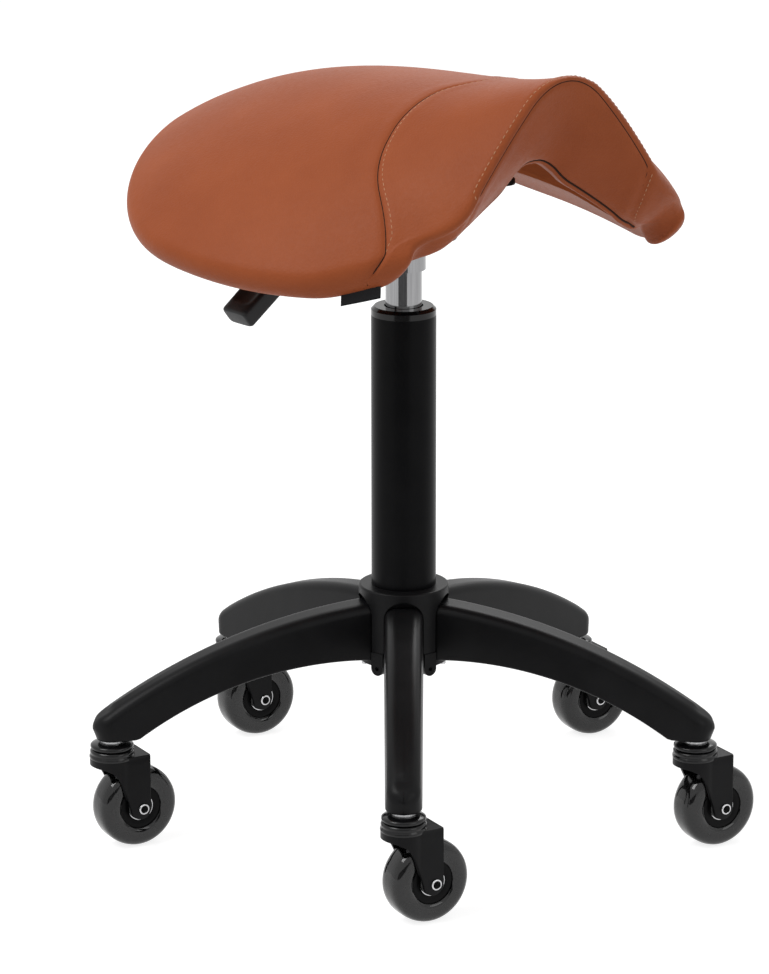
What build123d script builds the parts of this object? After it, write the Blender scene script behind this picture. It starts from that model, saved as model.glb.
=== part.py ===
"""Saddle stool: a padded saddle on a gas lift, with a five-arm base on swivel casters.

Millimetres. The origin is on the floor under the column's axis, +Z is up and one arm points to -Y.
The seat has its own directions: forward, left and up, turned about the column by seat_yaw.
"""
from build123d import *
from math import cos, radians, sin, sqrt
import os

# Seat heading, travel and clearances
seat_yaw = 49.6
seat_travel = 210.0
running_clearance = 0.05
rest_gap = 0.3

# Casters
caster_count = 5
caster_circle_radius = 235.0
caster_heading = 30.0
caster_trail = 18.0
wheel_diameter = 64.0
wheel_width = 24.0
tread_shoulder = 6.0
core_diameter = 44.0
core_width = 22.0
core_bore = 16.0
bearing_diameter = 22.0
bearing_width = 7.0
axle_diameter = 8.0
axle_head_diameter = 13.0
axle_head_height = 4.0
axle_socket_size = 5.0
wheel_side_gap = 1.5
cheek_thickness = 3.0
cheek_end_radius = 8.5
cheek_front_reach = 6.0
crown_thickness = 3.5
wheel_top_gap = 7.5
race_diameter = 34.0
race_height = 5.0
stem_collar_diameter = 18.0
stem_collar_height = 2.7
stem_diameter = 11.0
stem_length = 16.0
stem_neck_diameter = 10.0
stem_head_diameter = 14.0
stem_head_height = 3.0

# Arms
arm_reach = 250.0
arm_root_width = 28.0
arm_tip_width = 24.0
arm_rise = 46.2
arm_root_height = 44.5
arm_tip_height = 15.0
arm_arch = 16.0
arm_edge_radius = 7.0
arm_flat_length = 33.0
arm_end_radius = 11.0
arm_screw_diameter = 4.0
arm_screw_length = 20.0
arm_screw_head_diameter = 5.6
arm_screw_head_height = 2.5

# Hub
hub_diameter = 69.0
hub_ring_diameter = 70.0
hub_ring_height = 11.0
hub_rise = 11.5
hub_floor = 4.0
hub_sleeve = 3.5
hub_edge_radius = 1.5
pocket_gap = 1.5
pocket_headroom = 5.5
lug_width = 11.0
lug_drop = 7.0
lug_depth = 7.0
lug_stand = 0.8
lug_hole_diameter = 3.5

# Column and gas lift
column_diameter = 50.0
column_wall = 2.0
column_length = 274.0
column_floor = 4.0
cap_height = 7.0
cap_bevel = 2.5
cap_gap = 1.0
bush_length = 86.0
ball_diameter = 4.0
ball_count = 8
ball_circle_radius = 11.0
thrust_race_thickness = 2.5
thrust_race_diameter = 32.0
rod_diameter = 10.0
rod_collar_diameter = 18.0
rod_collar_height = 3.0
rod_end = 4.0
clip_thickness = 2.0
clip_diameter = 18.0
buffer_height = 8.0
buffer_diameter = 22.0
pressure_tube_diameter = 28.0
pressure_tube_wall = 2.0
pressure_tube_spare = 131.0
taper_length = 52.0
taper_narrowing = 1.0
rod_guide_height = 22.0
rod_guide_recess = 1.0
piston_height = 11.0
piston_headroom = 6.0
valve_height = 32.0
valve_pin_diameter = 6.0
valve_pin_rise = 5.2
valve_pin_depth = 20.0

# Seat mechanism
socket_wall = 3.0
socket_length = 56.0
housing_front = 62.0
housing_rear = 45.0
housing_width = 52.0
housing_depth = 48.0
housing_wall = 2.5
housing_corner_radius = 8.0
plate_length = 160.0
plate_width = 94.0
plate_thickness = 4.0
plate_corner_radius = 10.0
seat_bolt_diameter = 6.0
seat_bolt_length = 18.0
seat_bolt_head_diameter = 10.0
seat_bolt_head_height = 4.0
seat_bolt_spacing_long = 132.0
seat_bolt_spacing_wide = 74.0

# Release lever
lever_diameter = 8.0
lever_headroom = 2.5
lever_pivot_offset = 18.0
lever_inner_end = 6.0
lever_pin_diameter = 4.0
lever_bend_start = 58.0
lever_drop = 79.0
lever_run = 104.0
lever_bend_radius = 14.0
lever_slot_gap = 3.0
grip_length = 58.0
grip_width = 27.0
grip_end_width = 25.0
grip_thickness = 12.5
grip_edge_radius = 3.0
grip_wall = 6.0

# Saddle
seat_width = 409.0
seat_rear = 180.5
front_lean = 0.56
front_height = 112.0
front_line = ((198.5, 0.0), (206.5, 37.0), (224.0, 67.0), (235.0, 95.0))
front_corner = ((229.0, 128.0), (207.0, 158.0))
front_drop = 200.0
widest_station = -27.0
corner_station = 149.0
corner_half_width = 142.0
rear_fullness = 2.25
side_fullness = 2.06
ridge_heights = ((-180.0, 38.2), (-60.0, 70.3), (60.0, 80.5), (180.0, 94.0))
crown_radii = ((-180.0, 172.0), (0.0, 183.0), (180.0, 55.0))
crown_angles = ((-180.0, 5.0), (0.0, 23.25), (180.0, 45.2))
flank_radii = ((-180.0, 272.0), (180.0, 432.0))
rim_thickness = 30.0
middle_thickness = 62.0
thinning_length = 110.0
front_thinning_length = 48.0
cover_thickness = 2.0
shell_thickness = 8.0
shell_rim_margin = 14.0
pad_depth = 45.0
seam_station = 80.0
seam_sweep = 38.0
rim_bulge = 0.92
shell_rim_bulge = 0.05
layer_shares = (1.0, 0.9, 0.55, 0.0)
rear_steps = (1.5, 5.0, 15.0, 40.0)
waist_share = 0.44
front_shares = (0.0, 0.24, 0.45, 0.62, 0.76, 0.88, 1.0)
front_end = 200.0

# Levels and radii that follow from the sizes above
wheel_radius = wheel_diameter / 2
crown_bottom = wheel_diameter + wheel_top_gap
crown_top = crown_bottom + crown_thickness
lower_race_top = crown_top + race_height
upper_race_bottom = lower_race_top + rest_gap
collar_bottom = upper_race_bottom + race_height
arm_bottom = collar_bottom + stem_collar_height
cheek_inner = wheel_width / 2 + wheel_side_gap
cheek_outer = cheek_inner + cheek_thickness
arm_root_bottom = arm_bottom + arm_rise
arm_root_top = arm_root_bottom + arm_root_height
hub_top = arm_root_top + hub_rise
column_radius = column_diameter / 2
hub_radius = hub_diameter / 2
hub_bottom = arm_root_bottom - hub_floor
root_radius = column_radius + hub_sleeve
arm_screw_radius = (root_radius + hub_radius) / 2
pocket_width = arm_root_width + 2 * pocket_gap
column_bore_radius = column_radius - column_wall
column_bottom = hub_bottom
column_top = column_bottom + column_length
bearing_floor = column_bottom + column_floor
balls_bottom = bearing_floor + thrust_race_thickness
balls_top = balls_bottom + ball_diameter + rest_gap
rod_collar_bottom = balls_top + thrust_race_thickness
buffer_bottom = rod_collar_bottom + rod_collar_height
tube_bottom = buffer_bottom + buffer_height + rest_gap
tube_top = tube_bottom + seat_travel + pressure_tube_spare
tube_radius = pressure_tube_diameter / 2
tube_bore_radius = tube_radius - pressure_tube_wall
rod_radius = rod_diameter / 2
valve_bottom = tube_top - valve_height
rod_top = valve_bottom - piston_headroom
socket_radius = tube_radius + socket_wall
socket_top = tube_top
socket_bottom = socket_top - socket_length
pin_top = tube_top + valve_pin_rise
lever_height = pin_top + rest_gap + lever_diameter / 2
plate_bottom = lever_height + lever_diameter / 2 + lever_headroom
plate_top = plate_bottom + plate_thickness
housing_bottom = plate_bottom - housing_depth
tall = 1000.0

# Directions
up = Vector(0, 0, 1)
seat_front = Vector(cos(radians(seat_yaw)), -sin(radians(seat_yaw)), 0)
seat_left = up.cross(seat_front)
seat_plan = Plane(origin=(0, 0, 0), x_dir=seat_front, z_dir=up)
trail_direction = Vector(cos(radians(caster_heading)), sin(radians(caster_heading)), 0)
axle_direction = trail_direction.cross(up)
arm_angles = [-90.0 + 360.0 / caster_count * k for k in range(caster_count)]

os.makedirs("parts", exist_ok=True)


def save(part, name):
    """Label a finished piece and write it under the same name."""
    part.label = name
    export_step(part, f"parts/{name}.step")


def heading(angle):
    """Unit vector in plan at an angle from +X."""
    return Vector(cos(radians(angle)), sin(radians(angle)), 0)


def ring(inner_radius, outer_radius, bottom, top):
    """A plain ring about the column's axis."""
    with BuildPart() as plain_ring:
        with BuildSketch(Plane.XY.offset(bottom)):
            Circle(outer_radius)
            Circle(inner_radius, mode=Mode.SUBTRACT)
        extrude(amount=top - bottom)
    return plain_ring.part


# Hub: a drum with a top ring, a sleeve for the column and one arched pocket for each arm
with BuildPart() as hub:
    with BuildSketch(Plane.XY.offset(hub_bottom)):
        Circle(hub_radius)
    extrude(amount=hub_top - hub_bottom)
    with BuildSketch(Plane.XY.offset(hub_top - hub_ring_height)):
        Circle(hub_ring_diameter / 2)
    extrude(amount=hub_ring_height)
    fillet(hub.faces().sort_by(Axis.Z)[-1].edges(), hub_edge_radius)
    for angle in arm_angles:
        out = heading(angle)
        side = up.cross(out)
        with BuildSketch(Plane(origin=out * root_radius, x_dir=side, z_dir=out)):
            with BuildLine():
                arch_base = arm_root_top + pocket_headroom - pocket_width / 2
                foot = Line((-pocket_width / 2, arm_root_bottom), (pocket_width / 2, arm_root_bottom))
                rise = Line(foot @ 1, (pocket_width / 2, arch_base))
                arch = RadiusArc(rise @ 1, (-pocket_width / 2, arch_base), -pocket_width / 2)
                Line(arch @ 1, foot @ 0)
            make_face()
        extrude(amount=hub_ring_diameter, mode=Mode.SUBTRACT)
    for angle in arm_angles:
        out = heading(angle + 180.0 / caster_count)
        side = up.cross(out)
        lug_face = Plane(origin=out * (hub_radius + lug_stand), x_dir=-side, z_dir=-out)
        with BuildSketch(lug_face):
            with Locations((0, hub_bottom)):
                Rectangle(lug_width, lug_width, align=(Align.CENTER, Align.MIN))
            with Locations((0, hub_bottom - lug_drop + lug_width / 2)):
                Circle(lug_width / 2)
                Rectangle(lug_width, lug_drop, align=(Align.CENTER, Align.MIN))
        extrude(amount=lug_depth)
        with BuildSketch(lug_face):
            with Locations((0, hub_bottom - lug_drop + lug_width / 2)):
                Circle(lug_hole_diameter / 2)
        extrude(amount=lug_depth, mode=Mode.SUBTRACT)
    with BuildSketch(Plane.XY.offset(hub_bottom - lug_drop)):
        Circle(column_radius)
    extrude(amount=hub_top, mode=Mode.SUBTRACT)
    with BuildSketch(Plane.XY.offset(hub_bottom)):
        with PolarLocations(arm_screw_radius, caster_count, start_angle=arm_angles[0]):
            Circle(arm_screw_diameter / 2)
    extrude(amount=hub_floor, mode=Mode.SUBTRACT)
save(hub.part, "hub")


def arm_centre_line(root, tip):
    """The point midway on an arching edge, raised above its chord by the arch."""
    return ((root[0] + tip[0]) / 2, (root[1] + tip[1]) / 2 + arm_arch)


# Arms: arching beams, tapered in plan, with a socket for the caster's stem under the tip
for number, angle in enumerate(arm_angles, start=1):
    out = heading(angle)
    root_top = (root_radius, arm_root_top)
    tip_top = (arm_reach, arm_bottom + arm_tip_height)
    tip_bottom = (arm_reach - arm_flat_length, arm_bottom)
    root_bottom = (hub_radius, arm_root_bottom)
    with BuildPart() as arm:
        with BuildSketch(Plane(origin=(0, 0, 0), x_dir=out, z_dir=out.cross(up))):
            with BuildLine():
                ThreePointArc(root_top, arm_centre_line(root_top, tip_top), tip_top)
                Polyline(tip_top, (arm_reach, arm_bottom), tip_bottom)
                ThreePointArc(tip_bottom, arm_centre_line(root_bottom, tip_bottom), root_bottom)
                Polyline(root_bottom, (root_radius, arm_root_bottom), root_top)
            make_face()
        extrude(amount=arm_root_width, both=True)
        with BuildSketch(Plane(origin=(0, 0, 0), x_dir=out, z_dir=up)):
            with BuildLine():
                sides = FilletPolyline(
                    (0, -arm_root_width / 2),
                    (arm_reach, -arm_tip_width / 2),
                    (arm_reach, arm_tip_width / 2),
                    (0, arm_root_width / 2),
                    radius=arm_end_radius,
                )
                Line(sides @ 1, sides @ 0)
            make_face()
        extrude(amount=hub_top, mode=Mode.INTERSECT)
        top_face = arm.faces().filter_by(GeomType.CYLINDER).sort_by(Axis.Z)[-1]
        fillet(top_face.edges().sort_by(SortBy.LENGTH)[-2:], arm_edge_radius)
        with BuildSketch(Plane(origin=out * caster_circle_radius + up * arm_bottom)):
            Circle(stem_diameter / 2)
        extrude(amount=stem_length, mode=Mode.SUBTRACT)
        with BuildSketch(Plane(origin=out * arm_screw_radius + up * arm_root_bottom)):
            Circle(arm_screw_diameter / 2)
        extrude(amount=arm_screw_length - hub_floor, mode=Mode.SUBTRACT)
    save(arm.part, f"arm_{number}")

# Arm screws: one from below through the hub's floor into each arm root
with BuildPart() as arm_screws:
    with BuildSketch(Plane.XY.offset(hub_bottom)):
        with PolarLocations(arm_screw_radius, caster_count, start_angle=arm_angles[0]):
            Circle(arm_screw_diameter / 2)
    extrude(amount=arm_screw_length)
    with BuildSketch(Plane.XY.offset(hub_bottom - arm_screw_head_height)):
        with PolarLocations(arm_screw_radius, caster_count, start_angle=arm_angles[0]):
            Circle(arm_screw_head_diameter / 2)
    extrude(amount=arm_screw_head_height)
save(arm_screws.part, "arm_screws")

# Column tube: pressed into the hub, with a floor that carries the thrust bearing
with BuildPart() as column_tube:
    with BuildSketch(Plane.XY.offset(column_bottom)):
        Circle(column_radius)
        Circle(column_bore_radius, mode=Mode.SUBTRACT)
    extrude(amount=column_top - column_bottom)
    with BuildSketch(Plane.XY.offset(column_bottom)):
        Circle(column_bore_radius)
        Circle(rod_radius + running_clearance, mode=Mode.SUBTRACT)
    extrude(amount=column_floor)
save(column_tube.part, "column_tube")

# Column cap: bevelled ring on the tube's upper end
with BuildPart() as column_cap:
    with BuildSketch(Plane.XY.offset(column_top)):
        Circle(column_radius)
        Circle(tube_radius + cap_gap, mode=Mode.SUBTRACT)
    extrude(amount=cap_height)
    cap_edges = column_cap.faces().sort_by(Axis.Z)[-1].edges().sort_by(SortBy.LENGTH)
    chamfer(cap_edges[-1], cap_bevel)
save(column_cap.part, "column_cap")

guide_bush = ring(tube_radius + running_clearance, column_bore_radius, column_top - bush_length, column_top)
save(guide_bush, "guide_bush")

# Thrust bearing at the foot of the rod: lower race with its balls, and the upper race that turns
with BuildPart() as thrust_bearing:
    with BuildSketch(Plane.XY.offset(bearing_floor)):
        Circle(thrust_race_diameter / 2)
        Circle(rod_radius + rest_gap, mode=Mode.SUBTRACT)
    extrude(amount=thrust_race_thickness)
    with Locations((0, 0, (balls_bottom + balls_top) / 2)):
        with PolarLocations(ball_circle_radius, ball_count):
            Sphere(ball_diameter / 2)
save(thrust_bearing.part, "thrust_bearing")
upper_race = ring(rod_radius, thrust_race_diameter / 2, balls_top, rod_collar_bottom)
save(upper_race, "upper_race")

# Piston rod: stands on the bearing by its collar and reaches up into the pressure tube
with BuildPart() as piston_rod:
    rod_bottom = column_bottom - rest_gap - clip_thickness - rod_end
    with BuildSketch(Plane.XY.offset(rod_bottom)):
        Circle(rod_radius)
    extrude(amount=rod_top - rod_bottom)
    with BuildSketch(Plane.XY.offset(rod_collar_bottom)):
        Circle(rod_collar_diameter / 2)
    extrude(amount=rod_collar_height)
save(piston_rod.part, "piston_rod")

clip_top = column_bottom - rest_gap
rod_clip = ring(rod_radius, clip_diameter / 2, clip_top - clip_thickness, clip_top)
save(rod_clip, "rod_clip")
rod_buffer = ring(rod_radius, buffer_diameter / 2, buffer_bottom, buffer_bottom + buffer_height)
save(rod_buffer, "rod_buffer")
piston = ring(rod_radius, tube_bore_radius - running_clearance, rod_top - piston_height, rod_top)
save(piston, "piston")

# Pressure tube: bright tube with a slight taper where the seat's socket sits
with BuildPart() as pressure_tube:
    with BuildSketch(Plane.XZ):
        with BuildLine():
            Polyline(
                (tube_bore_radius, tube_bottom),
                (tube_radius, tube_bottom),
                (tube_radius, tube_top - taper_length),
                (tube_radius - taper_narrowing, tube_top),
                (tube_bore_radius, tube_top),
                close=True,
            )
        make_face()
    revolve(axis=Axis.Z)
save(pressure_tube.part, "pressure_tube")

guide_bottom = tube_bottom + rod_guide_recess
rod_guide = ring(rod_radius + running_clearance, tube_bore_radius, guide_bottom, guide_bottom + rod_guide_height)
save(rod_guide, "rod_guide")
valve_body = ring(valve_pin_diameter / 2 + running_clearance, tube_bore_radius, valve_bottom, tube_top)
save(valve_body, "valve_body")

# Valve pin: the lever presses it down
with BuildPart() as valve_pin:
    with BuildSketch(Plane.XY.offset(tube_top - valve_pin_depth)):
        Circle(valve_pin_diameter / 2)
    extrude(amount=valve_pin_depth + valve_pin_rise)
save(valve_pin.part, "valve_pin")

# Caster stems and upper races, fixed in the arm tips
with BuildPart() as caster_stems:
    for level, height, diameter in (
        (crown_bottom - rest_gap - stem_head_height, stem_head_height, stem_head_diameter),
        (crown_bottom - rest_gap, collar_bottom - crown_bottom + rest_gap, stem_neck_diameter),
        (collar_bottom, stem_collar_height, stem_collar_diameter),
        (arm_bottom, stem_length, stem_diameter),
    ):
        with BuildSketch(Plane.XY.offset(level)):
            with PolarLocations(caster_circle_radius, caster_count, start_angle=arm_angles[0]):
                Circle(diameter / 2)
        extrude(amount=height)
save(caster_stems.part, "caster_stems")

with BuildPart() as caster_races:
    with BuildSketch(Plane.XY.offset(upper_race_bottom)):
        with PolarLocations(caster_circle_radius, caster_count, start_angle=arm_angles[0]):
            Circle(race_diameter / 2)
            Circle(stem_neck_diameter / 2, mode=Mode.SUBTRACT)
    extrude(amount=race_height)
save(caster_races.part, "caster_races")


def wheel_section(points, plane):
    """A closed profile in radius and width, turned about the wheel's axle."""
    with BuildPart() as turned:
        with BuildSketch(plane):
            with BuildLine():
                Polyline(*points, close=True)
            make_face()
        revolve(axis=Axis(plane.origin, plane.x_dir))
    return turned.part


# Casters: fork, axle, bearings, core and tyre
for number, angle in enumerate(arm_angles, start=1):
    pivot = heading(angle) * caster_circle_radius
    wheel_centre = pivot + trail_direction * caster_trail + up * wheel_radius
    swivel_plan = Plane(origin=pivot, x_dir=trail_direction, z_dir=up)
    cheek_plan = Plane(origin=pivot, x_dir=trail_direction, z_dir=axle_direction)
    wheel_plan = Plane(origin=wheel_centre, x_dir=axle_direction, z_dir=axle_direction.cross(up))
    axle_plan = Plane(origin=wheel_centre, x_dir=trail_direction, z_dir=axle_direction)
    shelf_end = caster_trail + cheek_end_radius

    with BuildPart() as fork:
        for start in (cheek_inner, -cheek_outer):
            with BuildSketch(cheek_plan.offset(start)):
                with Locations((caster_trail, wheel_radius)):
                    Circle(cheek_end_radius)
                with Locations((shelf_end, crown_bottom)):
                    Rectangle(
                        shelf_end + cheek_front_reach,
                        crown_thickness,
                        align=(Align.MAX, Align.MIN),
                    )
                make_hull()
                with Locations((caster_trail, wheel_radius)):
                    Circle(axle_diameter / 2, mode=Mode.SUBTRACT)
            extrude(amount=cheek_thickness)
        with BuildSketch(swivel_plan.offset(crown_bottom)):
            Circle(race_diameter / 2)
            Rectangle(shelf_end, 2 * cheek_outer, align=(Align.MIN, Align.CENTER))
        extrude(amount=crown_thickness)
        with BuildSketch(swivel_plan.offset(crown_top)):
            Circle(race_diameter / 2)
        extrude(amount=race_height)
        with BuildSketch(swivel_plan.offset(crown_bottom)):
            Circle(stem_neck_diameter / 2 + running_clearance)
        extrude(amount=crown_thickness + race_height, mode=Mode.SUBTRACT)
    save(fork.part, f"caster_{number}_fork")

    with BuildPart() as axle:
        with BuildSketch(axle_plan.offset(-cheek_outer - axle_head_height)):
            Circle(axle_diameter / 2)
        extrude(amount=2 * cheek_outer + axle_head_height)
        with BuildSketch(axle_plan.offset(cheek_outer)):
            Circle(axle_head_diameter / 2)
        extrude(amount=axle_head_height)
        with BuildSketch(axle_plan.offset(cheek_outer + axle_head_height)):
            RegularPolygon(axle_socket_size / 2, 6, major_radius=False)
        extrude(amount=-axle_head_height, mode=Mode.SUBTRACT)

    with BuildPart() as axle_nut:
        with BuildSketch(axle_plan.offset(-cheek_outer - axle_head_height)):
            RegularPolygon(axle_head_diameter / 2, 6, major_radius=False)
            Circle(axle_diameter / 2, mode=Mode.SUBTRACT)
        extrude(amount=axle_head_height)
    save(Compound([axle.part.solid(), axle_nut.part.solid()]), f"caster_{number}_axle")

    with BuildPart() as bearings:
        for start in (core_width / 2 - bearing_width, -core_width / 2):
            with BuildSketch(axle_plan.offset(start)):
                Circle(bearing_diameter / 2)
                Circle(axle_diameter / 2 + running_clearance, mode=Mode.SUBTRACT)
            extrude(amount=bearing_width)
    save(bearings.part, f"caster_{number}_bearings")

    bearing_seat = core_width / 2 - bearing_width
    core = wheel_section(
        (
            (-core_width / 2, bearing_diameter / 2),
            (-core_width / 2, core_diameter / 2),
            (core_width / 2, core_diameter / 2),
            (core_width / 2, bearing_diameter / 2),
            (bearing_seat, bearing_diameter / 2),
            (bearing_seat, core_bore / 2),
            (-bearing_seat, core_bore / 2),
            (-bearing_seat, bearing_diameter / 2),
        ),
        wheel_plan,
    )
    save(core, f"caster_{number}_core")

    with BuildPart() as tyre:
        with BuildSketch(wheel_plan):
            with BuildLine():
                shoulder = wheel_radius - tread_shoulder
                tread = ThreePointArc((-wheel_width / 2, shoulder), (0, wheel_radius), (wheel_width / 2, shoulder))
                Polyline(
                    tread @ 1,
                    (wheel_width / 2, core_diameter / 2),
                    (-wheel_width / 2, core_diameter / 2),
                    tread @ 0,
                )
            make_face()
        revolve(axis=Axis(wheel_plan.origin, wheel_plan.x_dir))
    save(tyre.part, f"caster_{number}_tyre")

# Taper socket: bright sleeve on the pressure tube's taper
with BuildPart() as taper_socket:
    taper_start = tube_top - taper_length
    with BuildSketch(Plane.XZ):
        with BuildLine():
            Polyline(
                (tube_radius, socket_bottom),
                (socket_radius, socket_bottom),
                (socket_radius, socket_top),
                (tube_radius - taper_narrowing, socket_top),
                (tube_radius, taper_start),
                close=True,
            )
        make_face()
    revolve(axis=Axis.Z)
save(taper_socket.part, "taper_socket")

# Mechanism housing: black box round the socket, open on top, with a slot for the lever
with BuildPart() as mechanism_housing:
    with BuildSketch(seat_plan.offset(housing_bottom)):
        with Locations(((housing_front - housing_rear) / 2, 0)):
            RectangleRounded(housing_front + housing_rear, housing_width, housing_corner_radius)
    extrude(amount=housing_depth)
    fillet(mechanism_housing.faces().sort_by(Axis.Z)[0].edges(), housing_corner_radius / 2)
    with BuildSketch(seat_plan.offset(housing_bottom + housing_wall)):
        with Locations(((housing_front - housing_rear) / 2, 0)):
            RectangleRounded(
                housing_front + housing_rear - 2 * housing_wall,
                housing_width - 2 * housing_wall,
                housing_corner_radius - housing_wall,
            )
    extrude(amount=housing_depth, mode=Mode.SUBTRACT)
    with BuildSketch(seat_plan.offset(housing_bottom)):
        Circle(socket_radius)
    extrude(amount=housing_wall, mode=Mode.SUBTRACT)
    slot_width = lever_diameter + 2 * lever_slot_gap
    with BuildSketch(Plane(origin=(0, 0, lever_height), x_dir=seat_front, z_dir=-seat_left)):
        Rectangle(slot_width, slot_width)
    extrude(amount=housing_width, mode=Mode.SUBTRACT)
    pin_place = -seat_left * lever_pivot_offset + up * lever_height
    with BuildSketch(Plane(origin=pin_place, x_dir=seat_left, z_dir=seat_front)):
        Circle(lever_pin_diameter / 2)
    extrude(amount=housing_front + housing_rear, both=True, mode=Mode.SUBTRACT)
save(mechanism_housing.part, "mechanism_housing")

# Mechanism plate and its four bolts
with BuildPart() as mechanism_plate:
    with BuildSketch(seat_plan.offset(plate_bottom)):
        RectangleRounded(plate_length, plate_width, plate_corner_radius)
        with GridLocations(seat_bolt_spacing_long, seat_bolt_spacing_wide, 2, 2):
            Circle(seat_bolt_diameter / 2, mode=Mode.SUBTRACT)
    extrude(amount=plate_thickness)
save(mechanism_plate.part, "mechanism_plate")

with BuildPart() as seat_bolts:
    with BuildSketch(seat_plan.offset(plate_bottom)):
        with GridLocations(seat_bolt_spacing_long, seat_bolt_spacing_wide, 2, 2):
            Circle(seat_bolt_diameter / 2)
    extrude(amount=seat_bolt_length)
    with BuildSketch(seat_plan.offset(plate_bottom - seat_bolt_head_height)):
        with GridLocations(seat_bolt_spacing_long, seat_bolt_spacing_wide, 2, 2):
            Circle(seat_bolt_head_diameter / 2)
    extrude(amount=seat_bolt_head_height)
save(seat_bolts.part, "seat_bolts")

# Release lever: a bent rod over the valve pin, on a cross pin, with a paddle at its end.
# Its plane runs to the sitter's right, with distance from the axis and height as coordinates.
lever_plane = Plane(origin=(0, 0, 0), x_dir=-seat_left, z_dir=-seat_front)
lever_bend = up * lever_height - seat_left * lever_bend_start
lever_slope = (-seat_left * lever_run - up * lever_drop).normalized()
grip_up = (up * lever_run - seat_left * lever_drop).normalized()
grip_end = sqrt(lever_run ** 2 + lever_drop ** 2)
grip_start = grip_end - grip_length
rod_share = 1 - grip_wall / grip_end
grip_base = lever_bend - grip_up * (grip_thickness / 2)
with BuildPart() as lever_rod:
    with BuildLine(lever_plane):
        lever_line = FilletPolyline(
            (-lever_inner_end, lever_height),
            (lever_bend_start, lever_height),
            (lever_bend_start + lever_run * rod_share, lever_height - lever_drop * rod_share),
            radius=lever_bend_radius,
        )
    with BuildSketch(Plane(origin=lever_line @ 0, z_dir=lever_line % 0)):
        Circle(lever_diameter / 2)
    sweep()
    with BuildSketch(Plane(origin=pin_place, x_dir=seat_left, z_dir=seat_front)):
        Circle(lever_pin_diameter / 2 + running_clearance)
    extrude(amount=lever_diameter, both=True, mode=Mode.SUBTRACT)
save(lever_rod.part, "lever_rod")

with BuildPart() as lever_pin:
    with BuildSketch(Plane(origin=pin_place, x_dir=seat_left, z_dir=seat_front)):
        Circle(lever_pin_diameter / 2)
    extrude(amount=housing_front)
    with BuildSketch(Plane(origin=pin_place, x_dir=seat_left, z_dir=-seat_front)):
        Circle(lever_pin_diameter / 2)
    extrude(amount=housing_rear)
save(lever_pin.part, "lever_pin")

with BuildPart() as lever_grip:
    with BuildSketch(Plane(origin=grip_base, x_dir=lever_slope, z_dir=grip_up)):
        with BuildLine():
            Polyline(
                (grip_start, -grip_width / 2),
                (grip_end, -grip_end_width / 2),
                (grip_end, grip_end_width / 2),
                (grip_start, grip_width / 2),
                close=True,
            )
        make_face()
    extrude(amount=grip_thickness)
    fillet(lever_grip.edges(), grip_edge_radius)
    add(lever_rod.part, mode=Mode.SUBTRACT)
save(lever_grip.part, "lever_grip")


def along(values, station):
    """Value at a station on the smooth curve through a few (station, value) pairs."""
    total = 0.0
    for here, value in values:
        weight = 1.0
        for there, _ in values:
            if there != here:
                weight *= (station - there) / (here - there)
        total += weight * value
    return total


def half_width_at(station):
    """Half width of the saddle's plan outline: a full round at the rear, drawn in towards the front."""
    widest = seat_width / 2
    if station < widest_station:
        share = (widest_station - station) / (widest_station + seat_rear)
        return widest * (1 - share ** rear_fullness) ** (1 / rear_fullness)
    share = (station - widest_station) / (corner_station - widest_station)
    return widest - (widest - corner_half_width) * share ** side_fullness


def rear_roll(station):
    """How far both faces close in where the rear edge rolls over, and how near that edge is."""
    nearness = max(0.0, 1 - (station + seat_rear) / (rim_thickness / 2))
    return rim_thickness / 2 * (1 - sqrt(1 - nearness ** 2)), nearness


def half_section(station, rim_margin):
    """Points of the top line at the ridge, crown end, mid flank and rim: distance out, height, slope."""
    crown_angle = radians(along(crown_angles, station))
    crown_radius = along(crown_radii, station)
    ridge = plate_top + along(ridge_heights, station)
    flank_radius = along(flank_radii, station)
    rim_radius = rim_thickness / 2
    crown_out = crown_radius * sin(crown_angle)
    crown_height = ridge - crown_radius * (1 - cos(crown_angle))
    spare = rim_radius * (1 - sin(crown_angle) + crown_out / flank_radius)
    rim_out = (half_width_at(station) - rim_margin - spare) / (1 - rim_radius / flank_radius)
    points = [(0.0, ridge, 0.0)]
    for share in (0.0, 0.5, 1.0):
        out = crown_out + (rim_out - crown_out) * share
        slope_sine = sin(crown_angle) + (out - crown_out) / flank_radius
        slope_cosine = sqrt(1 - slope_sine ** 2)
        height = crown_height - flank_radius * (cos(crown_angle) - slope_cosine)
        points.append((out, height, slope_sine))
    return points


def thickness_at(station):
    """Padding and shell thickness at the ridge, crown end, mid flank and rim."""
    share = min(1.0, (station + seat_rear) / thinning_length, (front_end - station) / front_thinning_length)
    extra = (middle_thickness - rim_thickness) * share
    return [rim_thickness + extra * layer_share for layer_share in layer_shares]


def sunk(point, depth):
    """A point of the top line moved straight into the padding by a depth."""
    out, height, slope_sine = point
    return out - depth * slope_sine, height - depth * sqrt(1 - slope_sine ** 2)


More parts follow.
